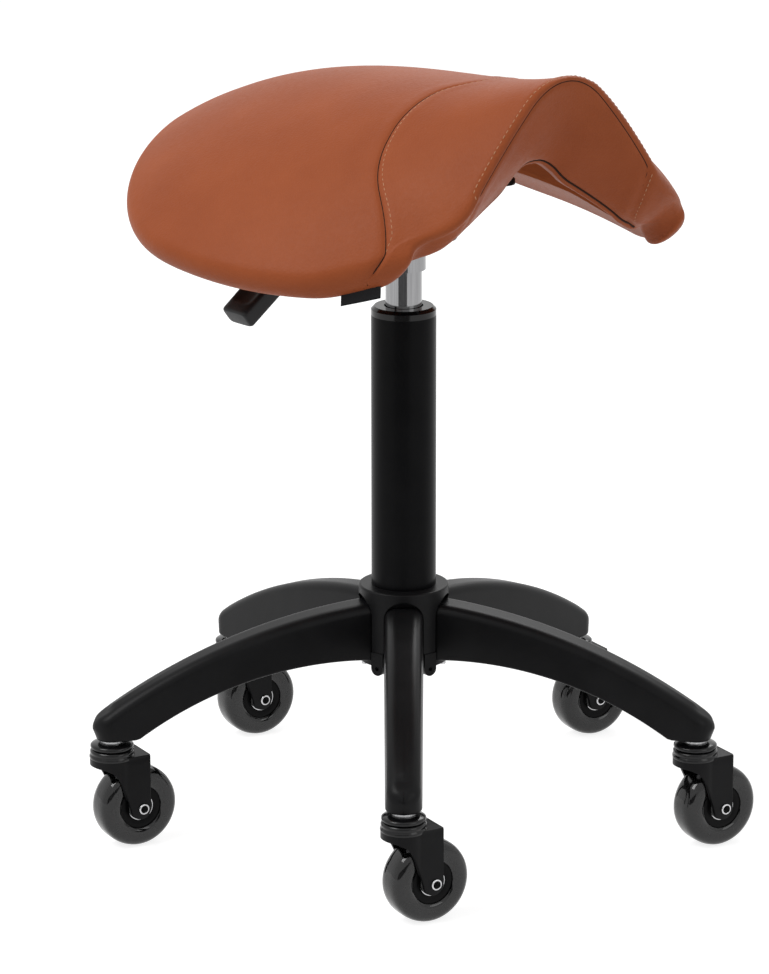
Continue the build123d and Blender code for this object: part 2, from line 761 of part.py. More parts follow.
def saddle_band(stations, top_depths, floor_depths, rim_margin, edge_bulge, rear_inset, drop):
    """A saddle-shaped solid between two depths, lofted through sections of arcs."""
    with BuildPart() as band:
        for station in stations:
            roll, nearness = rear_roll(station)
            line = half_section(station, rim_margin)
            layers = thickness_at(station)
            tops = [sunk(p, top_depths(t) + roll) for p, t in zip(line, layers)]
            floors = [sunk(p, floor_depths(t) - roll) for p, t in zip(line, layers)]
            floors = [(out, height - drop) for out, height in floors]
            slope = line[-1][2]
            bulge = edge_bulge * (Vector(*tops[-1]) - Vector(*floors[-1])).length / 2
            edge = (
                (tops[-1][0] + floors[-1][0]) / 2 + bulge * sqrt(1 - slope ** 2),
                (tops[-1][1] + floors[-1][1]) / 2 - bulge * slope,
            )
            right = [tops[1], tops[2], tops[3], edge, floors[3], floors[2], floors[1]]
            left = [(-out, height) for out, height in reversed(right)]
            place = seat_front * (station + rear_inset * nearness)
            with BuildSketch(Plane(origin=place, x_dir=seat_left, z_dir=seat_front)):
                with BuildLine():
                    ThreePointArc(left[-1], tops[0], right[0])
                    ThreePointArc(*right[0:3])
                    ThreePointArc(*right[2:5])
                    ThreePointArc(*right[4:7])
                    ThreePointArc(right[-1], floors[0], left[0])
                    ThreePointArc(*left[0:3])
                    ThreePointArc(*left[2:5])
                    ThreePointArc(*left[4:7])
                make_face()
        loft()
    return band.part


def behind_front(setback):
    """Everything behind the saddle's front face, which leans back towards its lower edge."""
    lean = seat_front * -front_lean - up
    with BuildSketch(seat_plan.offset(plate_top + front_height)) as plan:
        with BuildLine():
            right_edge = [(front - setback, -out) for front, out in reversed(front_line)]
            left_edge = [(front - setback, out) for front, out in front_line]
            bow, corner = [(front - setback, out) for front, out in front_corner]
            Spline(*right_edge, *left_edge[1:])
            ThreePointArc(left_edge[-1], bow, corner)
            Polyline(
                corner,
                (0, seat_width),
                (-seat_width, seat_width),
                (-seat_width, -seat_width),
                (0, -seat_width),
                (corner[0], -corner[1]),
            )
            ThreePointArc((corner[0], -corner[1]), (bow[0], -bow[1]), right_edge[0])
        make_face()
    return extrude(plan.sketch, amount=front_drop, dir=lean, mode=Mode.PRIVATE)


# Saddle: stations from the rolled rear edge to past the front, then the layers between them
rear_stations = [-seat_rear + step for step in rear_steps]
waist_station = widest_station - waist_share * (widest_station + seat_rear)
front_length = front_end - widest_station
body_stations = [waist_station] + [widest_station + share * front_length for share in front_shares]
all_stations = rear_stations + body_stations
outer_band = saddle_band(all_stations, lambda t: 0.0, lambda t: t, 0.0, rim_bulge, 0.0, 0.0)
inner_band = saddle_band(
    all_stations,
    lambda t: cover_thickness,
    lambda t: t - cover_thickness,
    cover_thickness,
    rim_bulge,
    cover_thickness,
    0.0,
)
under_band = saddle_band(
    rear_stations[2:] + body_stations,
    lambda t: t - cover_thickness - shell_thickness,
    lambda t: t,
    shell_rim_margin,
    shell_rim_bulge,
    0.0,
    pad_depth,
)
front_cut = behind_front(0.0)
inner_front_cut = behind_front(cover_thickness)

# Mounting pad: flat block under the shell, where the mechanism plate is bolted
with BuildPart() as mounting_pad:
    with BuildSketch(seat_plan.offset(plate_top)):
        RectangleRounded(plate_length, plate_width, plate_corner_radius)
    extrude(amount=pad_depth)
    add(under_band, mode=Mode.INTERSECT)

# Core of the saddle inside the cover
with BuildPart() as saddle_core:
    add(inner_band)
    add(inner_front_cut, mode=Mode.INTERSECT)

with BuildPart() as saddle_skin:
    add(outer_band)
    add(front_cut, mode=Mode.INTERSECT)
    add(saddle_core.part, mode=Mode.SUBTRACT)

with BuildPart() as seat_shell:
    add(saddle_core.part)
    add(under_band, mode=Mode.INTERSECT)
    add(mounting_pad.part)
    with BuildSketch(seat_plan.offset(plate_top)):
        with GridLocations(seat_bolt_spacing_long, seat_bolt_spacing_wide, 2, 2):
            Circle(seat_bolt_diameter / 2)
    extrude(amount=seat_bolt_length - plate_thickness, mode=Mode.SUBTRACT)
save(seat_shell.part, "seat_shell")

with BuildPart() as seat_foam:
    add(saddle_core.part)
    add(under_band, mode=Mode.SUBTRACT)
save(seat_foam.part, "seat_foam")

with BuildPart() as cover_lining:
    add(saddle_skin.part)
    add(under_band, mode=Mode.INTERSECT)
    add(inner_front_cut, mode=Mode.INTERSECT)
    with BuildSketch(seat_plan.offset(plate_top)):
        RectangleRounded(plate_length, plate_width, plate_corner_radius)
    extrude(amount=pad_depth, mode=Mode.SUBTRACT)
save(cover_lining.part, "cover_lining")

# Cover panels: the front panel closes the arch, the others meet at a seam that sweeps forward
with BuildPart() as cover_front:
    add(outer_band)
    add(front_cut, mode=Mode.INTERSECT)
    add(inner_front_cut, mode=Mode.SUBTRACT)
save(cover_front.part, "cover_front")

with BuildSketch(seat_plan) as rear_plan:
    with BuildLine():
        seam_end = (seam_station + seam_sweep, corner_half_width)
        ThreePointArc((seam_end[0], -seam_end[1]), (seam_station, 0), seam_end)
        Polyline(
            seam_end,
            (seam_end[0], seat_width),
            (-seat_width, seat_width),
            (-seat_width, -seat_width),
            (seam_end[0], -seat_width),
            (seam_end[0], -seam_end[1]),
        )
    make_face()

with BuildPart() as cover_top:
    add(saddle_skin.part)
    add(inner_front_cut, mode=Mode.INTERSECT)
    add(under_band, mode=Mode.SUBTRACT)

with BuildPart() as cover_rear:
    add(cover_top.part)
    add(extrude(rear_plan.sketch, amount=tall, mode=Mode.PRIVATE), mode=Mode.INTERSECT)
save(cover_rear.part, "cover_rear")

with BuildPart() as cover_middle:
    add(cover_top.part)
    add(extrude(rear_plan.sketch, amount=tall, mode=Mode.PRIVATE), mode=Mode.SUBTRACT)
save(cover_middle.part, "cover_middle")
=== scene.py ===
"""Saddle stool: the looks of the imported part, in metres in the part's own frame."""

from math import atan2, cos, pi, radians, sin, sqrt, tau

import bpy
import numpy as np
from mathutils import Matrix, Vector


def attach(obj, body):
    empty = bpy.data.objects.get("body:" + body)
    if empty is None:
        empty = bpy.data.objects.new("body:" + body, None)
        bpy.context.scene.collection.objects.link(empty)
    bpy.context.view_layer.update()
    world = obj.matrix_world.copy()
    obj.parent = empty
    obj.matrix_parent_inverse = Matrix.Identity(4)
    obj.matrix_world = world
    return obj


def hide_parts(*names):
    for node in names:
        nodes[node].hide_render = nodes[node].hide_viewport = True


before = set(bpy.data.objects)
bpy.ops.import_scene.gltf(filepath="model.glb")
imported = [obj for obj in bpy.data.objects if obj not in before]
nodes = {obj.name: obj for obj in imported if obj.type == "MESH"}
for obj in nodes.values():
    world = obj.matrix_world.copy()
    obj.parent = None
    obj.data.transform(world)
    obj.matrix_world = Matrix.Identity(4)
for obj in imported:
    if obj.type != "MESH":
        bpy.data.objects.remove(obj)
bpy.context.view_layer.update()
MM = 0.001
UP = np.array((0.0, 0.0, 1.0))
QUARTER_POINTS = 9
EASING_ROWS = 7

# Camera, fitted to the photograph's frame
CAMERA_PLACE = (0.0, -3.369, 1.226)
CAMERA_PITCH = 15.89
CAMERA_LENS = 168.0
CAMERA_SENSOR = 36.0
CAMERA_SHIFT = -0.0197

# Saddle, in millimetres, as in the part
SEAT_YAW = 49.6
PLATE_TOP = 515.8
SEAT_HALF_WIDTH = 204.5
SEAT_REAR = 180.5
WIDEST_STATION = -27.0
CORNER_STATION = 149.0
CORNER_HALF_WIDTH = 142.0
REAR_FULLNESS = 2.25
SIDE_FULLNESS = 2.06
FRONT_STATION = 187.0
FRONT_HALF_WIDTH = 80.0
CORNER_CUT = 29.0
CORNER_LENGTH = 50.0
CORNER_ROLL = (118.0, 142.0)
CORNER_BULGES = (0.45, 0.8)
RIGHT_TIP_SHIFT = (-1.0, 9.0, 11.5)
LEFT_TIP_SHIFT = (3.0, 7.0, 4.0)
TIP_START = (90.0, 155.0)
TIP_SIDE = (85.0, 130.0)
FRONT_SEAM_TURN = 80.0
FRONT_SEAM_END = 100.0
HEM_END = 106.0
LINING_MARGIN = 16
LINING_STEP = 1.2
FRONT_UNDERCUT = 40.0
RIDGE_HEIGHTS = ((-180.0, 38.2), (-60.0, 70.3), (60.0, 80.5), (180.0, 98.0))
CROWN_RADII = ((-180.0, 172.0), (0.0, 183.0), (180.0, 55.0))
CROWN_ANGLES = ((-180.0, 5.0), (0.0, 23.25), (180.0, 45.2))
FLANK_RADII = ((-180.0, 272.0), (180.0, 432.0))
RIM_THICKNESS = 30.0
MIDDLE_THICKNESS = 62.0
CROWN_THINNING = 0.1
FLANK_THINNING = 1.35
THINNING_LENGTH = 110.0
RIM_BULGE = 0.92
STEEPEST = 0.98

# Seams of the cover, in millimetres
STITCH_PITCH = 4.6
STITCH_LENGTH = 3.3
STITCH_RADIUS = 0.4
STITCH_SIDES = 6
STITCH_RINGS = (
    (-0.5, 0.25, -1.2), (-0.42, 0.75, -0.8), (-0.22, 1.0, -0.4), (0.0, 1.0, -0.25),
    (0.22, 1.0, -0.4), (0.42, 0.75, -0.8), (0.5, 0.25, -1.2),
)
STITCH_LOOK_AHEAD = 0.3
SEAM_DEPTH = 1.2
HEM_DEPTH = 1.5
VALLEY_HALF = 1.6
SWELL_HEIGHT = 0.6
SWELL_PLACE = 7.0
SWELL_HALF = 4.0
PUCKER_HEIGHT = 0.16
PUCKER_PITCH = 11.0
PUCKER_RUN = (1.0, 1.7, 1.3)
# Radii of the near-black tubes in the seams and along the hem, which are painted shade
SEAM_SHADE_LINE_RADIUS = 0.45
HEM_SHADE_LINE_RADIUS = 1.0

# Casters, in millimetres
CASTER_COUNT = 5
CASTER_CIRCLE = 235.0
CASTER_HEADING = 30.0
CASTER_TRAIL = 18.0
WHEEL_RADIUS = 32.0
CROWN_TOP = 75.0
CROWN_THICKNESS = 3.2
FORK_HALF_WIDTH = 16.5
FORK_ROUND = 17.2
FORK_WALL = 2.6
FORK_EDGE = 0.9
STRAP_RADIUS = 8.3
STRAP_CENTRE = 16.2
SKIRT_LINE = (
    (-17.2, 67.5), (-12.0, 66.6), (-7.0, 64.0), (-3.0, 60.0), (1.0, 52.0), (4.5, 43.0), (7.9, 32.0),
)
LOWER_RACE = (
    (80.0, 7.0), (80.0, 15.2), (79.4, 16.4), (78.4, 17.0), (77.2, 17.0), (76.4, 16.5),
    (75.9, 16.6), (75.2, 17.3), (74.2, 17.6), (73.2, 17.5), (72.4, 16.9), (72.4, 7.0),
)
UPPER_RACE = (
    (80.4, 5.4), (80.4, 15.4), (80.9, 16.3), (82.0, 16.7), (83.2, 16.5),
    (84.0, 15.6), (84.5, 13.0), (85.1, 10.6), (85.2, 5.4),
)
TYRE_HALF = (
    (11.2, 16.4), (12.2, 17.4), (12.9, 20.0), (13.0, 23.5), (12.5, 26.8),
    (11.2, 29.4), (9.0, 31.0), (6.0, 31.8), (2.4, 32.0),
)
TYRE_INSIDE = ((-6.2, 21.4), (6.2, 21.4))
CORE_PROFILE = (
    (-11.4, 10.9), (-11.4, 15.6), (-11.2, 16.8), (-6.5, 21.7), (6.5, 21.7),
    (11.2, 16.8), (11.4, 15.6), (11.4, 10.9), (9.0, 8.0), (-9.0, 8.0),
)
SHIELD_PROFILE = ((10.6, 4.4), (11.3, 4.4), (11.3, 9.8), (10.6, 10.0))
AXLE_PROFILE = (
    (-20.5, 0.3), (-20.5, 5.4), (-19.8, 6.2), (-16.6, 6.3), (-16.6, 3.9), (16.6, 3.9),
    (16.6, 4.3), (17.6, 4.2), (18.0, 3.9), (18.0, 3.1), (17.0, 2.8), (17.0, 0.3),
)
AXLE_SOCKET_PART = 9
PEG_COUNT = 12
PEG_CIRCLE = 23.2
PEG_RADIUS = 1.1
PEG_PLACE = 10.4
RACE_SEGMENTS = 64
AXLE_SEGMENTS = 40
CORE_SEGMENTS = 72
TYRE_SEGMENTS = 96
FORK_BEVEL = 0.5
FORK_BEVEL_ANGLE = 50.0
STRAP_POINTS = 15
NECK_POINTS = 5
FORK_FRONT_POINTS = 17
FORK_OUTER_ROWS = 9
FORK_INNER_ROWS = 5
FORK_EDGE_DROP = 0.3

# Arms, in millimetres: (distance out, height)
ARM_TOP = ((28.5, 178.7), (139.25, 156.85), (250.0, 103.0))
ARM_UNDERSIDE = ((34.5, 134.2), (125.75, 127.1), (217.0, 88.0))
ARM_ROOT = 29.0
ARM_END = 250.0
ARM_FLAT = 217.0
ARM_ROOT_HALF = 14.8
ARM_TIP_HALF = 13.0
ARM_DRAFT = 0.7
ARM_ROUNDING = 7.5
ARM_ROUNDING_LIMIT = 0.9
ARM_LOWER_ROUNDING = 2.2
ARM_LOWER_LIMIT = 0.5
ARM_TIP_LEAN = 3.4
ARM_TIP_ROUNDING = 6.0
ARM_TIP_FULLNESS = 2.4
ARM_TIP_LEAST = 0.04
ARM_LAND = (150.0, 234.0, 237.0)
ARM_LAND_HEIGHT = 1.8
ARM_LAND_HALF = 5.5
ARM_LAND_FADE = 6.0
ARM_ROWS = 60
ARM_TIP_ROWS = 16
ARM_CROWN_POINTS = 11

# Release lever, in millimetres: (distance from the axis, height)
LEVER_BEND = (58.0, 505.3)
LEVER_END = (162.0, 426.3)
GRIP_LENGTH = 58.0
GRIP_HALF_WIDTHS = (15.0, 14.0)
GRIP_HALF_THICKNESS = 7.5
GRIP_SQUARENESS = 6.0
GRIP_HOLLOW = 2.6
GRIP_HOLLOW_HALF = 9.0
GRIP_HOLLOW_START = (0.15, 0.4)
GRIP_HOLLOW_END = (0.72, 0.88)
GRIP_END_SHARE = 0.05
GRIP_END_SHRINK = 0.22
GRIP_POINTS = 64
GRIP_ROWS = 30

# Mechanism housing and mounting pad, in millimetres: (rear, front, half the width, corner radius)
HOUSING_BOX = (-45.0, 38.0, 26.0, 8.0)
HOUSING_LEVELS = (463.8, 511.7)
HOUSING_EASING = 5.0
PAD_BOX = (-79.0, 79.0, 46.0, 12.0)
PAD_LEVELS = (515.9, 548.0)
PAD_EASING = 2.0

# Tag at the near wing, between two places under the rim
TAG_ENDS = ((109.0, -152.0, 465.0), (131.0, -133.0, 472.0))
TAG_DROP = 10.5
TAG_HALF_THICKNESS = 0.5
TAG_LEAN = 1.6
TAG_WAVE = 0.5
TAG_POINTS = 12
TAG_ROWS = 6

# Surroundings, in metres
FLOOR_HALF = 30.0
FLOOR_GREY = 0.8
FLOOR_SHADOW_GREY = 0.45
FLOOR_GLOW = 0.82
CARD_SPAN = (-0.8, 0.46)
CARD_PLACE = -1.2
CARD_HEIGHT = 0.33
WORLD_LIGHT = 0.42


# Materials
def new_material(name, colour, roughness, metallic=0.0):
    """A principled material; its colour, roughness and bump are varied afterwards."""
    made = bpy.data.materials.new(name)
    made.use_nodes = True
    shader = made.node_tree.nodes["Principled BSDF"]
    shader.inputs["Base Color"].default_value = (*colour, 1.0)
    shader.inputs["Roughness"].default_value = roughness
    shader.inputs["Metallic"].default_value = metallic
    return made, made.node_tree, shader


def pattern(tree, kind, scale, **values):
    """A texture in the piece's own coordinates."""
    place = tree.nodes.new("ShaderNodeTexCoord")
    made = tree.nodes.new(kind)
    tree.links.new(place.outputs["Object"], made.inputs["Vector"])
    made.inputs["Scale"].default_value = scale
    for key, value in values.items():
        made.inputs[key.replace("_", " ")].default_value = value
    return made


def vary_colour(tree, shader, source, dark, light, low=0.3, high=0.7):
    """Base colour running between two tones with a texture."""
    ramp = tree.nodes.new("ShaderNodeValToRGB")
    ramp.color_ramp.elements[0].position = low
    ramp.color_ramp.elements[0].color = (*dark, 1.0)
    ramp.color_ramp.elements[1].position = high
    ramp.color_ramp.elements[1].color = (*light, 1.0)
    tree.links.new(source, ramp.inputs["Fac"])
    tree.links.new(ramp.outputs["Color"], shader.inputs["Base Color"])


def vary_roughness(tree, shader, source, low, high):
    """Roughness running between two values with a texture."""
    spread = tree.nodes.new("ShaderNodeMapRange")
    spread.inputs["To Min"].default_value = low
    spread.inputs["To Max"].default_value = high
    tree.links.new(source, spread.inputs["Value"])
    tree.links.new(spread.outputs["Result"], shader.inputs["Roughness"])


def add_bump(tree, shader, source, depth, strength):
    """Relief from a texture, on top of any relief already there."""
    made = tree.nodes.new("ShaderNodeBump")
    made.inputs["Distance"].default_value = depth
    made.inputs["Strength"].default_value = strength
    tree.links.new(source, made.inputs["Height"])
    if shader.inputs["Normal"].is_linked:
        before = shader.inputs["Normal"].links[0].from_socket
        tree.links.new(before, made.inputs["Normal"])
    tree.links.new(made.outputs["Normal"], shader.inputs["Normal"])


def leather(name, dark, light, roughness, specular):
    """Grained artificial leather with a soft cloudiness."""
    made, tree, shader = new_material(name, light, roughness)
    cloud = pattern(tree, "ShaderNodeTexNoise", 14.0, Detail=4.0, Roughness=0.6)
    vary_colour(tree, shader, cloud.outputs["Fac"], dark, light)
    fine = pattern(tree, "ShaderNodeTexNoise", 300.0, Detail=3.0)
    vary_roughness(tree, shader, fine.outputs["Fac"], roughness - 0.08, roughness + 0.1)
    grain = pattern(tree, "ShaderNodeTexVoronoi", 620.0)
    add_bump(tree, shader, grain.outputs["Distance"], 0.0004, 0.4)
    wave = pattern(tree, "ShaderNodeTexNoise", 90.0, Detail=2.0)
    add_bump(tree, shader, wave.outputs["Fac"], 0.0006, 0.25)
    shader.inputs["Specular IOR Level"].default_value = specular
    return made


def coated(name, dark, light, roughness, peel_scale, peel_depth, specular=0.4):
    """Paint, plastic or rubber with a fine uneven skin."""
    made, tree, shader = new_material(name, light, roughness)
    cloud = pattern(tree, "ShaderNodeTexNoise", 40.0, Detail=3.0)
    vary_colour(tree, shader, cloud.outputs["Fac"], dark, light)
    peel = pattern(tree, "ShaderNodeTexNoise", peel_scale, Detail=2.0)
    vary_roughness(tree, shader, peel.outputs["Fac"], roughness - 0.06, roughness + 0.08)
    add_bump(tree, shader, peel.outputs["Fac"], peel_depth, 0.5)
    shader.inputs["Specular IOR Level"].default_value = specular
    return made


def metal(name, dark, light, roughness):
    """Bare or plated metal with faint drawing marks along its height."""
    made, tree, shader = new_material(name, light, roughness, 1.0)
    place = tree.nodes.new("ShaderNodeTexCoord")
    stretch = tree.nodes.new("ShaderNodeMapping")
    stretch.inputs["Scale"].default_value = (1.0, 1.0, 0.02)
    marks = tree.nodes.new("ShaderNodeTexNoise")
    marks.inputs["Scale"].default_value = 900.0
    tree.links.new(place.outputs["Object"], stretch.inputs["Vector"])
    tree.links.new(stretch.outputs["Vector"], marks.inputs["Vector"])
    vary_colour(tree, shader, marks.outputs["Fac"], dark, light)
    vary_roughness(tree, shader, marks.outputs["Fac"], roughness - 0.03, roughness + 0.05)
    return made


def clear_tyre(name):
    """Smoke-coloured clear soft plastic, darker the deeper one looks into it."""
    made, tree, shader = new_material(name, (0.021, 0.021, 0.0215), 0.06)
    shader.inputs["Transmission Weight"].default_value = 0.7
    shader.inputs["IOR"].default_value = 1.48
    haze = pattern(tree, "ShaderNodeTexNoise", 120.0, Detail=2.0)
    vary_colour(tree, shader, haze.outputs["Fac"], (0.014, 0.014, 0.0145), (0.021, 0.021, 0.0215))
    vary_roughness(tree, shader, haze.outputs["Fac"], 0.04, 0.10)
    smoke = tree.nodes.new("ShaderNodeVolumeAbsorption")
    smoke.inputs["Color"].default_value = (0.10, 0.10, 0.105, 1.0)
    smoke.inputs["Density"].default_value = 900.0
    tree.links.new(smoke.outputs["Volume"], tree.nodes["Material Output"].inputs["Volume"])
    return made


TAN = leather("tan_leather", (0.305, 0.070, 0.021), (0.350, 0.085, 0.027), 0.5, 0.14)
LINING = leather("lining_leather", (0.25, 0.062, 0.022), (0.30, 0.078, 0.028), 0.65, 0.0)
THREAD = coated("tan_thread", (0.44, 0.20, 0.10), (0.56, 0.28, 0.15), 0.6, 2500.0, 0.0002, 0.3)
# Near-black tone of the thin tubes laid in the seams and along the hem: painted shade and painted shadow, not
# the leather's own colour
PAINTED_SEAM_SHADE = coated("painted_seam_shade", (0.018, 0.007, 0.004), (0.035, 0.014, 0.008), 0.8, 600.0, 0.0002, 0.2)
POWDER = coated(
    "black_powder_coat", (0.0045, 0.0045, 0.005), (0.0075, 0.0075, 0.008), 0.36, 1500.0, 0.00006, 0.11,
)
TUBE_BLACK = coated(
    "black_tube_paint", (0.0025, 0.0025, 0.003), (0.0045, 0.0045, 0.005), 0.3, 1200.0, 0.00005, 0.06,
)
GLOSS = coated("black_gloss_metal", (0.003, 0.003, 0.0035), (0.006, 0.006, 0.0065), 0.14, 700.0, 0.00004, 0.3)
PLASTIC = coated("black_plastic", (0.012, 0.012, 0.0125), (0.02, 0.02, 0.021), 0.45, 900.0, 0.0001, 0.22)
LABEL = coated("black_woven_label", (0.006, 0.006, 0.007), (0.012, 0.012, 0.013), 0.7, 2200.0, 0.0002, 0.2)
# Pale tone: the guide bush's own colour, and painted highlight on the beads of the wheel cores
PALE_AND_PAINTED_GLINTS = coated("pale_plastic", (0.62, 0.61, 0.58), (0.70, 0.69, 0.66), 0.45, 500.0, 0.0001)
RUBBER = coated("soft_black_rubber", (0.012, 0.012, 0.012), (0.02, 0.02, 0.02), 0.7, 600.0, 0.0001)
CHROME = metal("bright_chrome", (0.25, 0.25, 0.255), (0.31, 0.31, 0.315), 0.1)
STEEL = metal("zinc_steel", (0.48, 0.48, 0.49), (0.62, 0.62, 0.63), 0.22)
ALLOY = metal("plain_alloy", (0.50, 0.50, 0.51), (0.60, 0.60, 0.61), 0.36)
# Near-black: the wheel cores' own colour, and painted shade inside the axles' socket recesses
CORE_AND_SOCKET_SHADE = coated("dark_wheel_core_and_socket_shade", (0.002, 0.002, 0.0022), (0.004, 0.004, 0.0042), 0.4, 500.0, 0.00005, 0.08)
SMOKE = clear_tyre("smoke_tyre")


def dress(made, *names):
    """Give CAD nodes their material."""
    for name in names:
        nodes[name].data.materials.clear()
        nodes[name].data.materials.append(made)


dress(POWDER, "hub", "mechanism_plate", "lever_rod")
dress(STEEL, "arm_screws", "seat_bolts", "lever_pin", "thrust_bearing", "upper_race", "rod_clip")
dress(STEEL, "caster_stems", *(f"caster_{number}_bearings" for number in range(1, CASTER_COUNT + 1)))
dress(CHROME, "piston_rod", "pressure_tube", "taper_socket")
dress(ALLOY, "piston", "rod_guide", "valve_body", "valve_pin")
dress(TUBE_BLACK, "column_tube")
dress(GLOSS, "column_cap")
dress(PALE_AND_PAINTED_GLINTS, "guide_bush")
dress(RUBBER, "rod_buffer")


# Mesh pieces
def add_piece(name, shape, made, body):
    """A mesh piece from a shape of points in metres and faces, riding on a body."""
    points, faces = shape
    mesh = bpy.data.meshes.new(name)
    mesh.from_pydata([tuple(p) for p in points], [], faces)
    mesh.materials.append(made)
    mesh.update()
    mesh.polygons.foreach_set("use_smooth", [True] * len(mesh.polygons))
    piece = bpy.data.objects.new(name, mesh)
    bpy.context.scene.collection.objects.link(piece)
    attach(piece, body)
    return piece


def unit(vectors):
    """Vectors scaled to length one."""
    return vectors / np.maximum(np.linalg.norm(vectors, axis=-1, keepdims=True), 1e-12)


def lathe(profile, centre, axis, segments):
    """Points and outward faces of a closed profile of (along, radius) in millimetres turned about an axis."""
    side = unit(np.cross(axis, UP if abs(axis[2]) < 0.9 else (1.0, 0.0, 0.0)))
    rise = np.cross(side, axis)
    points, faces = [], []
    for k in range(segments):
        turn = tau * k / segments
        out = cos(turn) * side + sin(turn) * rise
        points += [centre + (axis * a + out * r) * MM for a, r in profile]
    count = len(profile)
    for k in range(segments):
        for i in range(count):
            a, b = k * count, (k + 1) % segments * count
            faces.append((a + i, a + (i + 1) % count, b + (i + 1) % count, b + i))
    ring = zip(profile, profile[1:] + profile[:1])
    if sum(p[0] * q[1] - q[0] * p[1] for p, q in ring) > 0.0:
        faces = [face[::-1] for face in faces]
    return points, faces


def joined(shapes):
    """Points and faces of several shapes as one."""
    points, faces = [], []
    for some_points, some_faces in shapes:
        start = len(points)
        points += [tuple(p) for p in some_points]
        faces += [tuple(start + i for i in face) for face in some_faces]
    return points, faces


def loft(rings):
    """Points and faces of a skin through rings of one count, closed at both ends."""
    rings = np.asarray(rings, float)
    count, around = rings.shape[:2]
    faces = []
    for i in range(count - 1):
        a, b = i * around, (i + 1) * around
        faces += [(a + k, a + (k + 1) % around, b + (k + 1) % around, b + k) for k in range(around)]
    faces.append(tuple(range(around))[::-1])
    faces.append(tuple(range((count - 1) * around, count * around)))
    return rings.reshape(-1, 3), faces


def beads(centres, radius):
    """Points and faces of small round beads."""
    turns = np.linspace(0.0, tau, 11)[:-1]
    shapes = []
    for centre in centres:
        rings = []
        for lift in (-0.96, -0.7, 0.0, 0.7, 0.96):
            girth = sqrt(1.0 - lift * lift)
            rings.append([centre + radius * np.array((girth * cos(t), girth * sin(t), lift)) for t in turns])
        shapes.append(loft(rings))
    return joined(shapes)


def round_about(first, second, sides):
    """Directions all round, between two that are square to each other."""
    turns = tau * np.arange(sides)[:, None] / sides
    return np.cos(turns) * first + np.sin(turns) * second


def tubes(lines, radius, sides=8):
    """Points and faces of thin closed-ended tubes along polylines."""
    askew = (0.13, 0.29, 0.95)
    shapes = []
    for line in lines:
        ahead = unit(np.gradient(line, axis=0))
        across = unit(np.cross(ahead, askew))
        over = np.cross(ahead, across)
        shapes.append(loft([p + radius * round_about(a, o, sides) for p, a, o in zip(line, across, over)]))
    return joined(shapes)


def sampled(marks, run, values):
    """Vectors at marks along a run, between those given on it."""
    return np.stack([np.interp(marks, run, values[:, k]) for k in range(3)], -1)


def stitches(lines):
    """Points and faces of short rounded stitches along (line, normals) pairs, sunk at their ends."""
    shapes = []
    for line, normals in lines:
        steps = np.linalg.norm(np.diff(line, axis=0), axis=1)
        run = np.concatenate([[0.0], np.cumsum(steps)])
        marks = np.arange(STITCH_PITCH / 2, run[-1], STITCH_PITCH)
        places = sampled(marks, run, line)
        ahead = unit(sampled(marks + STITCH_LOOK_AHEAD, run, line) - places)
        above = unit(sampled(marks, run, normals))
        across = unit(np.cross(ahead, above))
        for place, d, n, w in zip(places, ahead, above, across):
            rings = []
            for share, girth, lift in STITCH_RINGS:
                middle = place + d * STITCH_LENGTH * share + n * STITCH_RADIUS * lift
                rings.append(middle + STITCH_RADIUS * girth * round_about(w, n, STITCH_SIDES))
            shapes.append(loft(rings))
    return joined(shapes)


# Saddle surface, with the part's own section
def along(values, station):
    """Value at a station, on the smooth curve through (station, value) pairs."""
    total = 0.0 * station
    for here, value in values:
        weight = 1.0 + 0.0 * station
        for other, _ in values:
            if other != here:
                weight = weight * (station - other) / (here - other)
        total = total + weight * value
    return total


def half_width(station):
    """Half the seat's width, out to the rim, at a station from front to rear."""
    behind = np.clip((WIDEST_STATION - station) / (WIDEST_STATION + SEAT_REAR), 0.0, 1.0)
    ahead = np.clip((station - WIDEST_STATION) / (CORNER_STATION - WIDEST_STATION), 0.0, None)
    rear = SEAT_HALF_WIDTH * (1.0 - behind ** REAR_FULLNESS) ** (1.0 / REAR_FULLNESS)
    front = SEAT_HALF_WIDTH - (SEAT_HALF_WIDTH - CORNER_HALF_WIDTH) * ahead ** SIDE_FULLNESS
    return np.where(station < WIDEST_STATION, rear, front)


